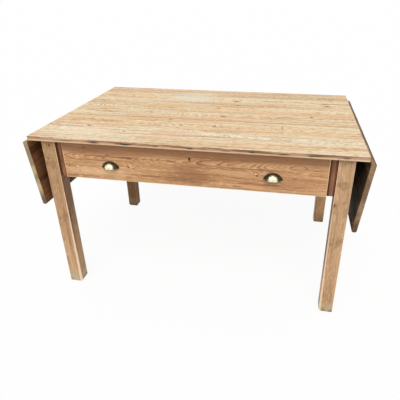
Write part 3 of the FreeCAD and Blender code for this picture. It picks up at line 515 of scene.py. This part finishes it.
topBoards = {  # by number, from the front
    1: {"seed": 1, "heart": (0.03, -0.055), "lean": (0.01, 0.02), "drift": 0.02, "taper": 0.075, "bend": 3.0,
        "light": (255, 246, 216), "honey": (255, 228, 182), "contrast": 0.85,
        "bands": [underside, frontEdge, upperEdge, edgeGrime, edgeStains],
        "knots": [(0.583, -0.030, 0.003, 0.7), (-0.483, 0.075, 0.0055, 0.8)],
        # the first mark is a painted pool of light: a pale patch at the left of the front board
        "marks": [(-0.5, 0.0, 0.2, 0.09, (255, 244, 212), 0.4), (-0.21, -0.03, 0.045, 0.008, brown, 0.75),
                  (0.36, 0.062, 0.16, 0.006, brown, 0.6), (-0.1, 0.01, 0.14, 0.05, (238, 186, 150), 0.4),
                  (-0.4, -0.02, 0.03, 0.005, brown, 0.6), (0.15, -0.05, 0.10, 0.006, brown, 0.45),
                  (-0.56, 0.06, 0.09, 0.006, brown, 0.5)]},
    2: {"seed": 2, "heart": (-0.02, -0.06), "lean": (-0.012, 0.01), "taper": -0.06,
        "knots": [(0.06, -0.02, 0.004, 0.8), (0.35, 0.012, 0.0035, 0.7), (-0.155, 0.052, 0.0055, 0.6),
                  (-0.218, 0.038, 0.0045, 0.5)],
        "marks": [(0.063, -0.012, 0.003, 0.024, dark, 0.8), (0.352, 0.012, 0.003, 0.028, dark, 0.75),
                  (-0.02, 0.066, 0.75, 0.008, brown, 0.9), (-0.3, 0.045, 0.3, 0.014, (226, 178, 122), 0.5)]},
    3: {"seed": 3, "heart": (0.01, -0.07), "lean": (0.008, 0.01), "taper": 0.05,
        "knots": [(0.075, -0.004, 0.0075, 0.7), (0.478, 0.048, 0.004, 0.9), (-0.288, 0.022, 0.007, 0.35)],
        "marks": [(0.478, 0.046, 0.003, 0.014, dark, 0.85), (0.33, 0.02, 0.16, 0.008, brown, 0.6),
                  (0.5, 0.02, 0.05, 0.005, dark, 0.5), (-0.2, -0.045, 0.3, 0.008, brown, 0.4)]},
    4: {"seed": 4, "heart": (-0.015, -0.055), "lean": (0.015, 0.01), "taper": -0.06,
        "knots": [(0.03, 0.005, 0.007, 0.5), (0.51, 0.006, 0.008, 0.4)],
        "marks": [(-0.2, 0.02, 0.12, 0.024, (214, 178, 110), 0.6), (0.1, 0.047, 0.2, 0.006, brown, 0.5),
                  (0.45, -0.03, 0.2, 0.008, brown, 0.45)]},
    5: {"seed": 5, "heart": (0.03, -0.05), "lean": (-0.01, 0.01), "taper": 0.06,
        "knots": [(0.098, 0.008, 0.008, 0.8), (0.56, -0.012, 0.008, 0.8), (0.35, -0.036, 0.005, 0.5),
                  (-0.29, 0.012, 0.006, 0.4), (0.12, -0.072, 0.005, 0.6), (0.243, -0.072, 0.005, 0.5)],
        "marks": [(-0.14, 0.03, 0.16, 0.07, grey, 0.75), (0.2, -0.062, 0.42, 0.008, brown, 0.85),
                  (-0.6, -0.066, 0.05, 0.008, brown, 0.7), (0.545, 0.02, 0.03, 0.01, dark, 0.3),
                  (-0.45, 0.01, 0.12, 0.012, (214, 170, 116), 0.6)]},
    6: {"seed": 6, "heart": (-0.02, -0.06), "lean": (0.01, 0.01), "taper": -0.05, "honey": (214, 182, 136),
        "knots": [(0.582, -0.058, 0.005, 0.6)],
        "marks": [(-0.14, -0.03, 0.14, 0.045, grey, 0.65), (0.2, 0.03, 0.4, 0.008, brown, 0.5),
                  (-0.3, 0.02, 0.3, 0.014, (188, 154, 112), 0.6),
                  (0.35, -0.055, 0.3, 0.014, (196, 160, 112), 0.6)]},
}
for number, settings in topBoards.items():
    node = f"top_board_{number}"
    finish = pine(f"top{number}", **{**topLook, "centre": middle(node), "bands": [underside], **settings})
    wornCopy(node, finish, ease=0.0009, least=0.01, wear=0.0003,
             joints=[(1, end) for end, last in ((0, 1), (1, len(topBoards))) if number != last])
print("top:", len(topBoards), "boards")

# Legs

legLook = {
    "axes": "zxy", "light": (214, 178, 138), "honey": (190, 152, 112), "late": (134, 92, 56),
    "contrast": 0.85, "streak": (144, 102, 66), "streaks": 0.6, "flecks": 0.6,
    "glint": (240, 204, 164), "glints": 0.5, "blush": (210, 164, 128), "blushes": 0.4,
    "worn": (250, 216, 182), "wear": 0.95, "rubLevel": (0.12, 0.38), "slanted": 1, "rough": 0.55, "gloss": 0.2,
    "heart": (0.05, 0.045), "lean": (0.0, 0.01), "drift": 0.03, "ring": 0.0024, "taper": 0.05, "swell": (0.008, 5),
    "grime": 0.85, "grimeColour": (146, 108, 72), "patchScale": 13,
}
shadedLeg = {"light": (146, 108, 70), "honey": (122, 86, 52), "late": (80, 52, 28), "glints": 0.1,
             "blush": (130, 88, 56), "streak": (90, 58, 32), "worn": (176, 142, 102)}
legs = {
    "front_left_leg": {"seed": 11, "knots": [(0.35, 0.004, 0.0035, 0.9), (0.29, -0.012, 0.003, 0.7)]},
    "front_right_leg": {"seed": 12, "heart": (-0.05, 0.05), "knots": [(0.175, -0.026, 0.0045, 0.9)]},
    "back_left_leg": {"seed": 13, "heart": (0.05, -0.05), **shadedLeg},
    "back_right_leg": {"seed": 14, "heart": (-0.05, -0.05), "light": (196, 156, 114),
                       "honey": (172, 130, 90)},
}
footTones = {"front": (184, 168, 138), "back": (140, 116, 86)}
footDirt = stripe("along", (-0.340, -0.366), 0.02, 0.8, (98, 78, 54), patchy=(14, 30))
for node, settings in legs.items():
    end, side = node.split("_")[:2]
    inner = 1 if side == "left" else -1  # the faces towards the knees get a painted shade
    bands = [stripe("along", (-0.300, -0.335), 0.05, 0.7, footTones[end]), footDirt,
             stripe("across", (0.0284 * inner, 0.0294 * inner), 0.001, 0.7, (94, 60, 32))]
    wornCopy(node, pine(node + "Pine", **{**legLook, "centre": middle(node), "bands": bands, **settings}),
             ease=0.0018, wear=0.0008, foot=0.006)
print("legs:", len(legs))

# Rails and stiles

railLook = {
    "light": (190, 146, 102), "honey": (164, 118, 78), "late": (108, 66, 38), "contrast": 0.8,
    "streak": (116, 74, 44), "streaks": 0.6, "fleck": (120, 78, 46), "flecks": 0.5,
    "glint": (214, 170, 124), "glints": 0.3, "worn": (214, 172, 128), "wear": 0.7, "gloss": 0.2,
    "taper": 0.05, "swell": (0.016, 3.6), "grime": 0.4, "grimeColour": (138, 96, 62), "patchScale": 6,
}
# painted shade: a dark stripe on the side of each rail that faces the knees
paintedInnerShade = stripe("deep", (-0.006, -0.008), 0.001, 0.9, (58, 38, 22))  # the side that faces the knees
rails = {
    "left_end_rail": {"axes": "yzx", "seed": 21, "bands": [{**paintedInnerShade, "span": (0.006, 0.008)}]},
    "right_end_rail": {"axes": "yzx", "seed": 22, "bands": [paintedInnerShade]},
    "back_rail": {"axes": "xzy", "seed": 23, "heart": (0.03, -0.05), "bands": [paintedInnerShade],
                  "knots": [(-0.27, 0.03, 0.007, 0.8), (0.19, -0.045, 0.005, 0.8)],
                  "marks": [(0.36, 0.02, 0.12, 0.03, (150, 106, 70), 0.5),
                            (-0.1, -0.05, 0.2, 0.012, (132, 88, 54), 0.5)]},
}
for node, settings in rails.items():
    wornCopy(node, pine(node + "Pine", **{**railLook, "centre": middle(node), **settings}), ease=0.001)
stileLook = {
    "axes": "zxy", "light": (164, 112, 78), "honey": (136, 84, 54), "late": (76, 40, 20),
    "contrast": 0.8, "streak": (70, 36, 20), "streaks": 0.7, "fleck": (186, 134, 96), "flecks": 0.5,
    "worn": (170, 116, 80), "wear": 0.6, "rough": 0.45, "gloss": 0.2, "ring": 0.003,
    # painted shadow: dark stripes down both long edges, for the shade in the gaps beside each stile
    "bands": [stripe("across", (-0.0060, -0.0080), 0.003, 0.85, (66, 34, 18)),
              stripe("across", (0.0055, 0.0070), 0.003, 0.7, (92, 44, 26))],
}
for seed, node in enumerate(("left_stile", "right_stile"), start=31):
    wornCopy(node, pine(node + "Stain", **{**stileLook, "centre": middle(node), "seed": seed}), ease=0.001)
print("rails and stiles:", len(rails) + 2)

# Drawer

drawerLook = {
    "axes": "xzy", "seed": 41, "light": (232, 186, 136), "honey": (206, 156, 106),
    "late": (118, 64, 34), "contrast": 1.0, "streak": (144, 92, 54), "streaks": 0.65,
    "streakLevel": (0.52, 0.66), "fleck": (136, 88, 50), "flecks": 0.7, "glint": (244, 200, 150),
    "glints": 0.65, "worn": (246, 212, 166), "wear": 0.85, "rough": 0.5, "gloss": 0.35,
    "heart": (0.026, 0.030), "lean": (0.012, 0.0), "drift": 0.012, "bend": 3.4, "taper": -0.05,
    "swell": (0.022, 4.2), "ring": 0.0024, "jitter": 1.8,
    "grime": 0.3, "grimeColour": (176, 126, 88), "patchScale": 9,
    "knots": [(-0.442, 0.058, 0.0035, 0.9)],
    "holes": [(-0.483, -0.027, 0.0075), (-0.249, -0.010, 0.009), (0.267, -0.006, 0.0075)],
    "ends": (0.541, (240, 206, 162), 0.8, 0.0032),
    # painted shade: the upper part of the drawer front is darkened, for the shadow of the top's overhang
    "bands": [stripe("across", (0.014, 0.056), 0.02, 0.8, (138, 92, 56)),
              # painted shadow: a dark line along the top of the drawer front, under the top's front edge
              stripe("across", (0.0765, 0.0800), 0.004, 0.75, (82, 50, 28), within=("deep", -0.011, 0.006, 0.004)),
              stripe("across", (-0.0775, -0.0795), 0.003, 0.8, (240, 206, 162))],
    "marks": [(0.02, -0.03, 0.12, 0.07, (138, 88, 54), 0.6),
              (-0.05, -0.055, 0.10, 0.02, (128, 84, 52), 0.45),
              # painted shade: widens the dark opening of the keyhole
              (0.003, 0.0365, 0.004, 0.008, (40, 26, 16), 0.8),  # round the keyhole
              (0.43, -0.045, 0.16, 0.04, (168, 112, 76), 0.4),
              (-0.36, -0.05, 0.16, 0.03, (240, 198, 152), 0.4),
              # painted shade: darkens the upper band further at the left
              (-0.44, 0.045, 0.12, 0.024, (128, 82, 48), 0.4),
              (-0.475, -0.046, 0.005, 0.004, dark, 0.6), (-0.52, -0.027, 0.008, 0.005, dark, 0.5),
              (-0.235, -0.022, 0.010, 0.004, dark, 0.6), (0.272, -0.014, 0.006, 0.004, dark, 0.7),
              (0.30, -0.032, 0.018, 0.003, dark, 0.7), (0.49, -0.033, 0.004, 0.004, dark, 0.6),
              (0.2, -0.065, 0.03, 0.004, dark, 0.6), (0.3, -0.05, 0.2, 0.007, (150, 92, 56), 0.8),
              (0.25, 0.012, 0.3, 0.004, (140, 84, 50), 0.6),
              (-0.3, 0.024, 0.25, 0.003, (126, 74, 42), 0.7)],
}
wornCopy("drawer_front", pine("drawerFrontPine", **{**drawerLook, "centre": middle("drawer_front")}),
         ease=0.0018, wear=0.0006)
liningLook = {
    "light": (234, 198, 150), "honey": (214, 172, 122), "late": (160, 110, 66), "contrast": 0.7,
    "streaks": 0.5, "flecks": 0.5, "glint": (246, 216, 172), "glints": 0.4, "wear": 0.3, "rough": 0.68,
    "gloss": 0.3, "grime": 0.45, "grimeColour": (190, 146, 100), "patchScale": 8, "taper": 0.04,
}
lining = {
    "drawer_left_side": "yzx", "drawer_right_side": "yzx", "drawer_back": "xzy",
    "drawer_left_bottom": "xyz", "drawer_right_bottom": "xyz", "drawer_muntin": "yxz",
}
undersides = {  # where the faces that are seen only from below begin to darken
    "drawer_left_bottom": (-0.0005, -0.0020), "drawer_right_bottom": (-0.0005, -0.0020),
    "drawer_muntin": (-0.003, -0.006),
}
for seed, (node, axes) in enumerate(lining.items(), start=51):
    bands = [stripe("deep", undersides[node], 0.0003, 0.7, (150, 110, 74))] if node in undersides else []
    finish = pine(node + "Pine", **{**liningLook, "centre": middle(node), "axes": axes, "seed": seed,
                                    "bands": bands})
    if node.endswith(("side", "back")):
        wornCopy(node, finish, ease=0.0006, least=0.08, wear=0.0002)
    else:
        refinish(node, finish)
print("drawer:", len(lining) + 1, "pieces of timber")

# Leaves, drawn raised and then hung

leafHang = {"x": 0.67325, "z": 0.745, "lean": math.radians(95.836)}
leafLook = {
    "light": (254, 234, 200), "honey": (243, 207, 160), "late": (168, 112, 68), "axes": "yxz",
    "contrast": 0.85, "streak": (202, 150, 100), "streaks": 0.65, "streakLevel": (0.52, 0.62),
    "fleck": (160, 112, 70), "flecks": 0.6, "glint": (255, 236, 202), "glints": 0.7,
    "blush": (238, 194, 146), "blushes": 0.4, "worn": (118, 92, 68), "wear": 0.75, "rough": 0.66,
    "gloss": 0.06, "taper": 0.05, "swell": (0.010, 3.2), "jitter": 1.6,
    "grime": 0.4, "grimeColour": (222, 184, 140), "patchScale": 8,
}
leafSides = {
    "left": {"inner": (112, 64, 26), "shade": (56, 30, 12), "end": (182, 158, 124),
             "edge": (140, 104, 72), "low": (84, 74, 62)},
    # the right leaf's tones are painted shade, darker than the left's, above all inner and shade, for the deep
    # shade it hangs in beside the leg
    "right": {"inner": (44, 24, 10), "shade": (26, 13, 5), "end": (140, 110, 82),
              "edge": (132, 98, 70), "low": (78, 62, 46)},
}
leafBoards = {"inner_board": (0.0855, 0.015), "outer_board": (0.2314, 0.015)}  # middles across and through the leaf


def leafBands(board, tones, sign):
    below = stripe("deep", (-0.0070, -0.0093), 0.001, 0.9, tones["inner"])
    nearEnd = stripe("along", (-0.4386, -0.4394), 0.0003, 0.9, tones["end"])
    bands = [below, {**below, "strength": 0.6, "colour": tones["shade"], "patchy": (2.4, 11)}, nearEnd,
             {**nearEnd, "strength": 0.5, "colour": tones["low"], "patchy": (3, 16)}]
    if board == "outer_board":  # the lower end is handled most
        return bands + [{**nearEnd, "strength": 0.85, "colour": tones["low"],
                         "within": ("across", 0.060 * sign, 0.085, 0.020)}]
    # the edge by the hinges is stained, most along its outer arris
    edge = -0.0840 * sign
    byHinge = stripe("across", (edge, edge - 0.0008 * sign), 0.0005, 0.8, tones["edge"])
    return bands + [byHinge, {**byHinge, "strength": 0.85, "colour": (70, 46, 30),
                              "within": ("deep", 0.0095, 0.006, 0.003)},
                    {**byHinge, "strength": 0.6, "colour": (96, 66, 44), "patchy": (8, 60)}]


for side, sign in (("left", -1), ("right", 1)):
    pivot = (sign * leafHang["x"], 0, leafHang["z"])
    pose = Matrix.Translation(pivot) @ Matrix.Rotation(sign * leafHang["lean"], 4, "Y")
    for number, (board, (acrossMiddle, deepMiddle)) in enumerate(leafBoards.items()):
        node = f"{side}_leaf_{board}"
        finish = pine(node + "Pine", **{**leafLook, "bands": leafBands(board, leafSides[side], sign),
                                        "pivot": pivot, "turn": -sign * leafHang["lean"],
                                        "centre": (sign * acrossMiddle, 0, deepMiddle),
                                        "seed": 61 + number + (sign + 1)})
        jointSide = (0, int((sign > 0) == (board == "inner_board")))
        wornCopy(node, finish, ease=0.0014, wear=0.0006, joints=[jointSide], pose=pose)
print("leaves:", len(leafSides))

# Everything inside the frame

insideLook = {
    "light": (190, 150, 108), "honey": (168, 126, 86), "late": (132, 92, 58), "contrast": 0.4,
    "streak": (130, 90, 56), "rough": 0.7,
}
inside = ["front_tie_rail", "left_drawer_runner", "right_drawer_runner", "left_drawer_guide", "right_drawer_guide",
          "left_cross_batten", "right_cross_batten", "glue_blocks", "drawer_stops", "left_front_support",
          "left_back_support", "right_front_support", "right_back_support"]
for seed, node in enumerate(inside, start=71):
    axes = "xyz" if node == "front_tie_rail" or node.endswith("support") else "yxz"
    refinish(node, pine(node + "Pine", **{**insideLook, "centre": middle(node), "axes": axes, "seed": seed}))
pegFinish = pine("pegOak", light=(150, 106, 66), honey=(126, 84, 50), late=(86, 54, 32), ring=0.0016,
                 heart=(0.002, 0.002), drift=0.002, contrast=0.7, rough=0.5)
for node in nodes:
    if node.endswith("support_peg") or node == "rail_pegs":
        refinish(node, pegFinish)
print("inside pieces:", len(inside))

# Ironwork

ironFinish = metal("hingeIron", clean=(78, 72, 66), dull=(52, 46, 42), rust=(104, 66, 44), rusting=0.6,
                   metallic=0.75, rough=0.5)
steelFinish = metal("screwSteel", clean=(156, 150, 140), dull=(110, 104, 96), rusting=0.4)
lockFinish = metal("lockIron", clean=(96, 88, 78), dull=(66, 60, 54), rusting=0.35, rough=0.46)
# width and depth: shares of a head's width, corners: a head's outline has more than this
slotShape = {"width": 0.17, "depth": 0.12, "spread": (97, 61), "sharpAngle": 30, "corners": 8}


def points(geometry):
    return [item for item in geometry if isinstance(item, bmesh.types.BMVert)]


def flats(geometry):
    return [item for item in geometry if isinstance(item, bmesh.types.BMFace)]


def screwHeads(shape):  # the broad flat end of each screw
    left = set(shape.faces)
    while left:
        screw, edge = set(), [left.pop()]
        while edge:
            face = edge.pop()
            screw.add(face)
            near = {other for line in face.edges for other in line.link_faces} & left
            left -= near
            edge.extend(near)
        broad = [face for face in screw if len(face.verts) > slotShape["corners"]]
        yield max(broad, key=lambda face: face.calc_area())


def cutSlot(shape, head):
    centre, normal = head.calc_center_median(), head.normal.copy()
    wide = 2 * math.sqrt(head.calc_area() / math.pi)
    spreadX, spreadY = slotShape["spread"]
    turned = Matrix.Rotation((centre.x * spreadX + centre.y * spreadY) * math.tau, 3, normal)  # as they were driven
    across = turned @ normal.orthogonal().normalized()
    pieces = [head]
    for side in (-0.5, 0.5):
        around = pieces + [line for face in pieces for line in face.edges] \
            + [vert for face in pieces for vert in face.verts]
        cut = bmesh.ops.bisect_plane(shape, geom=list(set(around)), dist=meshLimits["fineCut"], plane_no=across,
                                     plane_co=centre + across * (side * slotShape["width"] * wide))
        pieces = flats(cut["geom"])
    strip = min(pieces, key=lambda face: (face.calc_center_median() - centre).length)
    sunk = bmesh.ops.extrude_face_region(shape, geom=[strip])["geom"]
    if strip.is_valid:  # the face that the slot starts from stays behind otherwise
        bmesh.ops.delete(shape, geom=[strip], context="FACES_ONLY")
    bmesh.ops.translate(shape, vec=normal * (-slotShape["depth"] * wide), verts=points(sunk))


def slotted(node, finish):
    mesh, shape = cleanCopy(node)
    shape.normal_update()
    for head in list(screwHeads(shape)):
        cutSlot(shape, head)
    shape.to_mesh(mesh)
    shape.free()
    mesh.set_sharp_from_angle(angle=math.radians(slotShape["sharpAngle"]))
    standIn(mesh, node, "slotted", finish)


for node in nodes:
    if "screws" in node:
        slotted(node, steelFinish)
    elif "hinge" in node:
        refinish(node, ironFinish)
    elif node.startswith("lock"):
        refinish(node, lockFinish)
print("ironwork done")

# Cup pulls: a dome over a straight lip, on a thin flange. The crown is painted with a pale highlight, the rest has
# gone dark.

pullShape = {
    "halfWidth": 0.0325, "reach": 0.023, "lip": 0.004, "wall": 0.0016, "soft": 0.0008, "softAngle": 1.2,
    "flange": 0.0050, "flangeThick": 0.0020, "flangeDip": 0.0005, "below": 0.007,
    "segments": 96, "near": 0.00001, "skin": 0.0001, "sharpAngle": 42,
}
pullLook = {
    "bright": (244, 236, 200), "warm": (212, 194, 140), "patina": (78, 72, 46),
    "black": (42, 38, 26), "olive": (122, 106, 66), "crown": (0.0192, 0.0208), "crownLevel": (1.15, 0.75),
    "crownFront": (-0.0045, -0.0065), "crownFoot": (0.0010 - pullShape["lip"], 0.0038 - pullShape["lip"]),
    "agedLevel": (0.38, 0.6), "highlightLevel": (0.42, 0.8),
    "oliveTop": (0.004, -0.001), "oliveFront": (-0.003, -0.008),
    "cloudScale": 150, "cloudDetail": 4, "gritScale": 900, "ragged": 0.5, "metallic": 0.5, "crownMetallic": 0.2,
    "rough": 0.46, "crownRough": -0.1, "gritRough": 0.08, "relief": 0.15, "reliefDepth": 0.0003,
}


def pullBrass(name, place):
    made = Finish(bpy.data.materials.new(name))
    local = made.minus(made.node("TexCoord", out=3), place)
    x, y, z = made.split(local)
    cloud = made.cloud(local, pullLook["cloudScale"], pullLook["cloudDetail"])
    grit = made.cloud(local, pullLook["gritScale"])
    crownWide, crownTall = pullLook["crown"]
    goes = made.length(made.join(x / crownWide, made.most(z, 0) / crownTall, 0))
    # painted highlight: a pale patch on the crown of the dome, for the light it reflects
    crown = made.step(goes + (cloud - 0.5) * pullLook["ragged"], *pullLook["crownLevel"]) \
        * made.step(y, *pullLook["crownFront"]) * made.step(z, *pullLook["crownFoot"])
    aged = made.mix(made.step(cloud, *pullLook["agedLevel"]), pullLook["black"], pullLook["patina"])
    lipMask = made.step(z, *pullLook["oliveTop"]) * made.step(y, *pullLook["oliveFront"])
    aged = made.mix(lipMask, aged, pullLook["olive"])
    # the painted highlight's colour, mottled between bright and warm
    wearAndHighlight = made.mix(made.step(cloud, *pullLook["highlightLevel"]), pullLook["bright"], pullLook["warm"])
    made.shade(Base_Color=made.mix(crown, aged, wearAndHighlight),
               Metallic=pullLook["metallic"] + crown * pullLook["crownMetallic"],
               Roughness=pullLook["rough"] + crown * pullLook["crownRough"] + grit * pullLook["gritRough"],
               Normal=made.bump(grit, pullLook["relief"], pullLook["reliefDepth"]))
    return made.owner


def softened(shape, test):
    rounded(shape, [edge for edge in shape.edges
                    if edge.is_manifold and edge.calc_face_angle() > pullShape["softAngle"]
                    and all(test(vert.co) for vert in edge.verts)], pullShape["soft"])


def pullDome():
    lip, near = pullShape["lip"], pullShape["near"]
    around = pullShape["segments"]
    dome = bmesh.new()
    bmesh.ops.create_uvsphere(dome, u_segments=around, v_segments=around // 2, radius=1)
    bmesh.ops.rotate(dome, cent=(0, 0, 0), matrix=Matrix.Rotation(math.radians(90), 3, "Y"), verts=dome.verts)
    cutThrough(dome, (0, 0, 0), (0, 1, 0), True)
    cutThrough(dome, (0, 0, 0), (0, 0, -1), True)
    bmesh.ops.scale(dome, vec=(pullShape["halfWidth"], pullShape["reach"], pullShape["reach"]), verts=dome.verts)
    rim = [edge for edge in dome.edges if edge.is_boundary and all(abs(vert.co.z) < near for vert in edge.verts)]
    lowered = bmesh.ops.extrude_edge_only(dome, edges=rim)["geom"]
    bmesh.ops.translate(dome, vec=(0, 0, -lip), verts=points(lowered))
    bmesh.ops.remove_doubles(dome, verts=dome.verts, dist=near / 2)
    bmesh.ops.recalc_face_normals(dome, faces=dome.faces)
    if max(dome.faces, key=lambda face: face.calc_center_median().z).normal.z < 0:
        bmesh.ops.reverse_faces(dome, faces=dome.faces)
    bmesh.ops.solidify(dome, geom=dome.faces[:], thickness=pullShape["wall"])
    softened(dome, lambda co: co.z < pullShape["skin"] - lip)
    return dome


def pullFlange():  # an arch whose ends run out into points
    below, near = pullShape["below"], pullShape["near"]
    wide = pullShape["halfWidth"] + pullShape["flange"]
    tall = pullShape["reach"] + pullShape["flange"] - pullShape["flangeDip"]
    plate = bmesh.new()
    bmesh.ops.create_circle(plate, cap_ends=True, segments=pullShape["segments"], radius=1)
    bmesh.ops.rotate(plate, cent=(0, 0, 0), matrix=Matrix.Rotation(math.radians(90), 3, "X"), verts=plate.verts)
    bmesh.ops.scale(plate, vec=(wide / math.sqrt(1 - (below / (tall + below)) ** 2), 1, tall + below),
                    verts=plate.verts)
    bmesh.ops.translate(plate, vec=(0, 0, -below), verts=plate.verts)
    cutThrough(plate, (0, 0, 0), (0, 0, -1), True)
    face = plate.faces[:][0]
    bmesh.ops.inset_region(plate, faces=[face], thickness=pullShape["flange"] + pullShape["wall"],
                           use_boundary=True, use_even_offset=True)
    inner = min(vert.co.z for vert in face.verts)
    lowest = [vert for vert in face.verts if vert.co.z < inner + pullShape["skin"]]
    bmesh.ops.translate(plate, vec=(0, 0, -inner), verts=lowest)
    flat = [strip for strip in plate.faces if strip is face or all(abs(vert.co.z) < near for vert in strip.verts)]
    bmesh.ops.delete(plate, geom=flat, context="FACES")
    raised = bmesh.ops.extrude_face_region(plate, geom=plate.faces[:])["geom"]
    bmesh.ops.translate(plate, vec=(0, -pullShape["flangeThick"], 0), verts=points(raised))
    bmesh.ops.recalc_face_normals(plate, faces=plate.faces)
    softened(plate, lambda co: co.y < -pullShape["skin"])
    return plate


for node in ("left_cup_pull", "right_cup_pull"):
    low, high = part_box(node)
    place = Vector(((low.x + high.x) / 2, high.y, low.z + pullShape["lip"]))
    cast, plate = pullDome(), pullFlange()
    mesh = bpy.data.meshes.new(node + "_cast")
    plate.to_mesh(mesh)
    plate.free()
    cast.from_mesh(mesh)
    bmesh.ops.translate(cast, vec=place, verts=cast.verts)
    for face in cast.faces:
        face.smooth = True
    cast.to_mesh(mesh)
    cast.free()
    mesh.set_sharp_from_angle(angle=math.radians(pullShape["sharpAngle"]))
    standIn(mesh, node, "cast", pullBrass(node + "Brass", place))
print("cup pulls: 2")

# Floor, light and camera

stage = {"floor": 60, "floorColour": (0.94, 0.94, 0.94, 1), "whiteShare": 0.92, "skyLevel": 0.58,
         "lampLevel": 1.7, "lampAngle": 40, "lampTurn": (38, 8, -8)}


def seenDirectly(made):  # 1 for the camera's own rays and for what gloss and glass show
    outputs = made.node("LightPath").socket.node.outputs
    seen = Wire(made, outputs["Is Camera Ray"]) + Wire(made, outputs["Is Glossy Ray"]) \
        + Wire(made, outputs["Is Transmission Ray"])
    return made.least(seen, 1.0)


ground = Finish(bpy.data.materials.new("whiteGround"))
ground.shade(Base_Color=stage["floorColour"], Roughness=1.0, Specular_IOR_Level=0.0)
glow = ground.node("Emission", {}, {"Color": (1, 1, 1, 1), "Strength": 1.0})
both = ground.node("MixShader", {}, {0: seenDirectly(ground) * stage["whiteShare"],
                                     1: Wire(ground, ground.shader.outputs[0]), 2: glow})
ground.give(ground.tree.nodes["Material Output"].inputs["Surface"], both)
bpy.ops.mesh.primitive_plane_add(size=stage["floor"])
floor = bpy.context.object
floor.name = "studioFloor"
floor.data.materials.append(ground.owner)

sky = Finish(bpy.data.worlds.new("studioLight"), "Background")
sky.shade(Color=(1, 1, 1, 1), Strength=stage["skyLevel"] + seenDirectly(sky) * (1 - stage["skyLevel"]))
bpy.context.scene.world = sky.owner

lamp = bpy.data.lights.new("studioLamp", "SUN")
lamp.energy = stage["lampLevel"]
lamp.angle = math.radians(stage["lampAngle"])
lampObject = bpy.data.objects.new("studioLamp", lamp)
lampObject.rotation_euler = [math.radians(angle) for angle in stage["lampTurn"]]
bpy.context.scene.collection.objects.link(lampObject)

# fitted to the photograph: angles in degrees, focal length and middle in pixels of its frame
view = {"place": (0.378303, -1.797030, 1.317867), "pitch": 26.668, "yaw": -10.557, "roll": 0.383,
        "focal": 394.029, "middle": (218.784, 182.565), "frame": 400, "sensor": 36}
pitch, yaw, roll = (math.radians(view[name]) for name in ("pitch", "yaw", "roll"))
ahead = Vector((math.sin(yaw) * math.cos(pitch), math.cos(yaw) * math.cos(pitch), -math.sin(pitch)))
right = Vector((math.cos(yaw), -math.sin(yaw), 0))
down = ahead.cross(right)
rolledRight = math.cos(roll) * right + math.sin(roll) * down
rolledDown = math.cos(roll) * down - math.sin(roll) * right
lens = bpy.data.cameras.new("photoCamera")
lens.sensor_width = view["sensor"]
lens.lens = view["focal"] / view["frame"] * view["sensor"]
lens.shift_x = (view["frame"] / 2 - view["middle"][0]) / view["frame"]
lens.shift_y = (view["middle"][1] - view["frame"] / 2) / view["frame"]
camera = bpy.data.objects.new("photoCamera", lens)
turned = Matrix((rolledRight, -rolledDown, -ahead)).transposed().to_4x4()
camera.matrix_world = Matrix.Translation(view["place"]) @ turned
bpy.context.scene.collection.objects.link(camera)
bpy.context.scene.camera = camera
bpy.context.scene.view_settings.view_transform = "Standard"
print("stage, light and camera set")
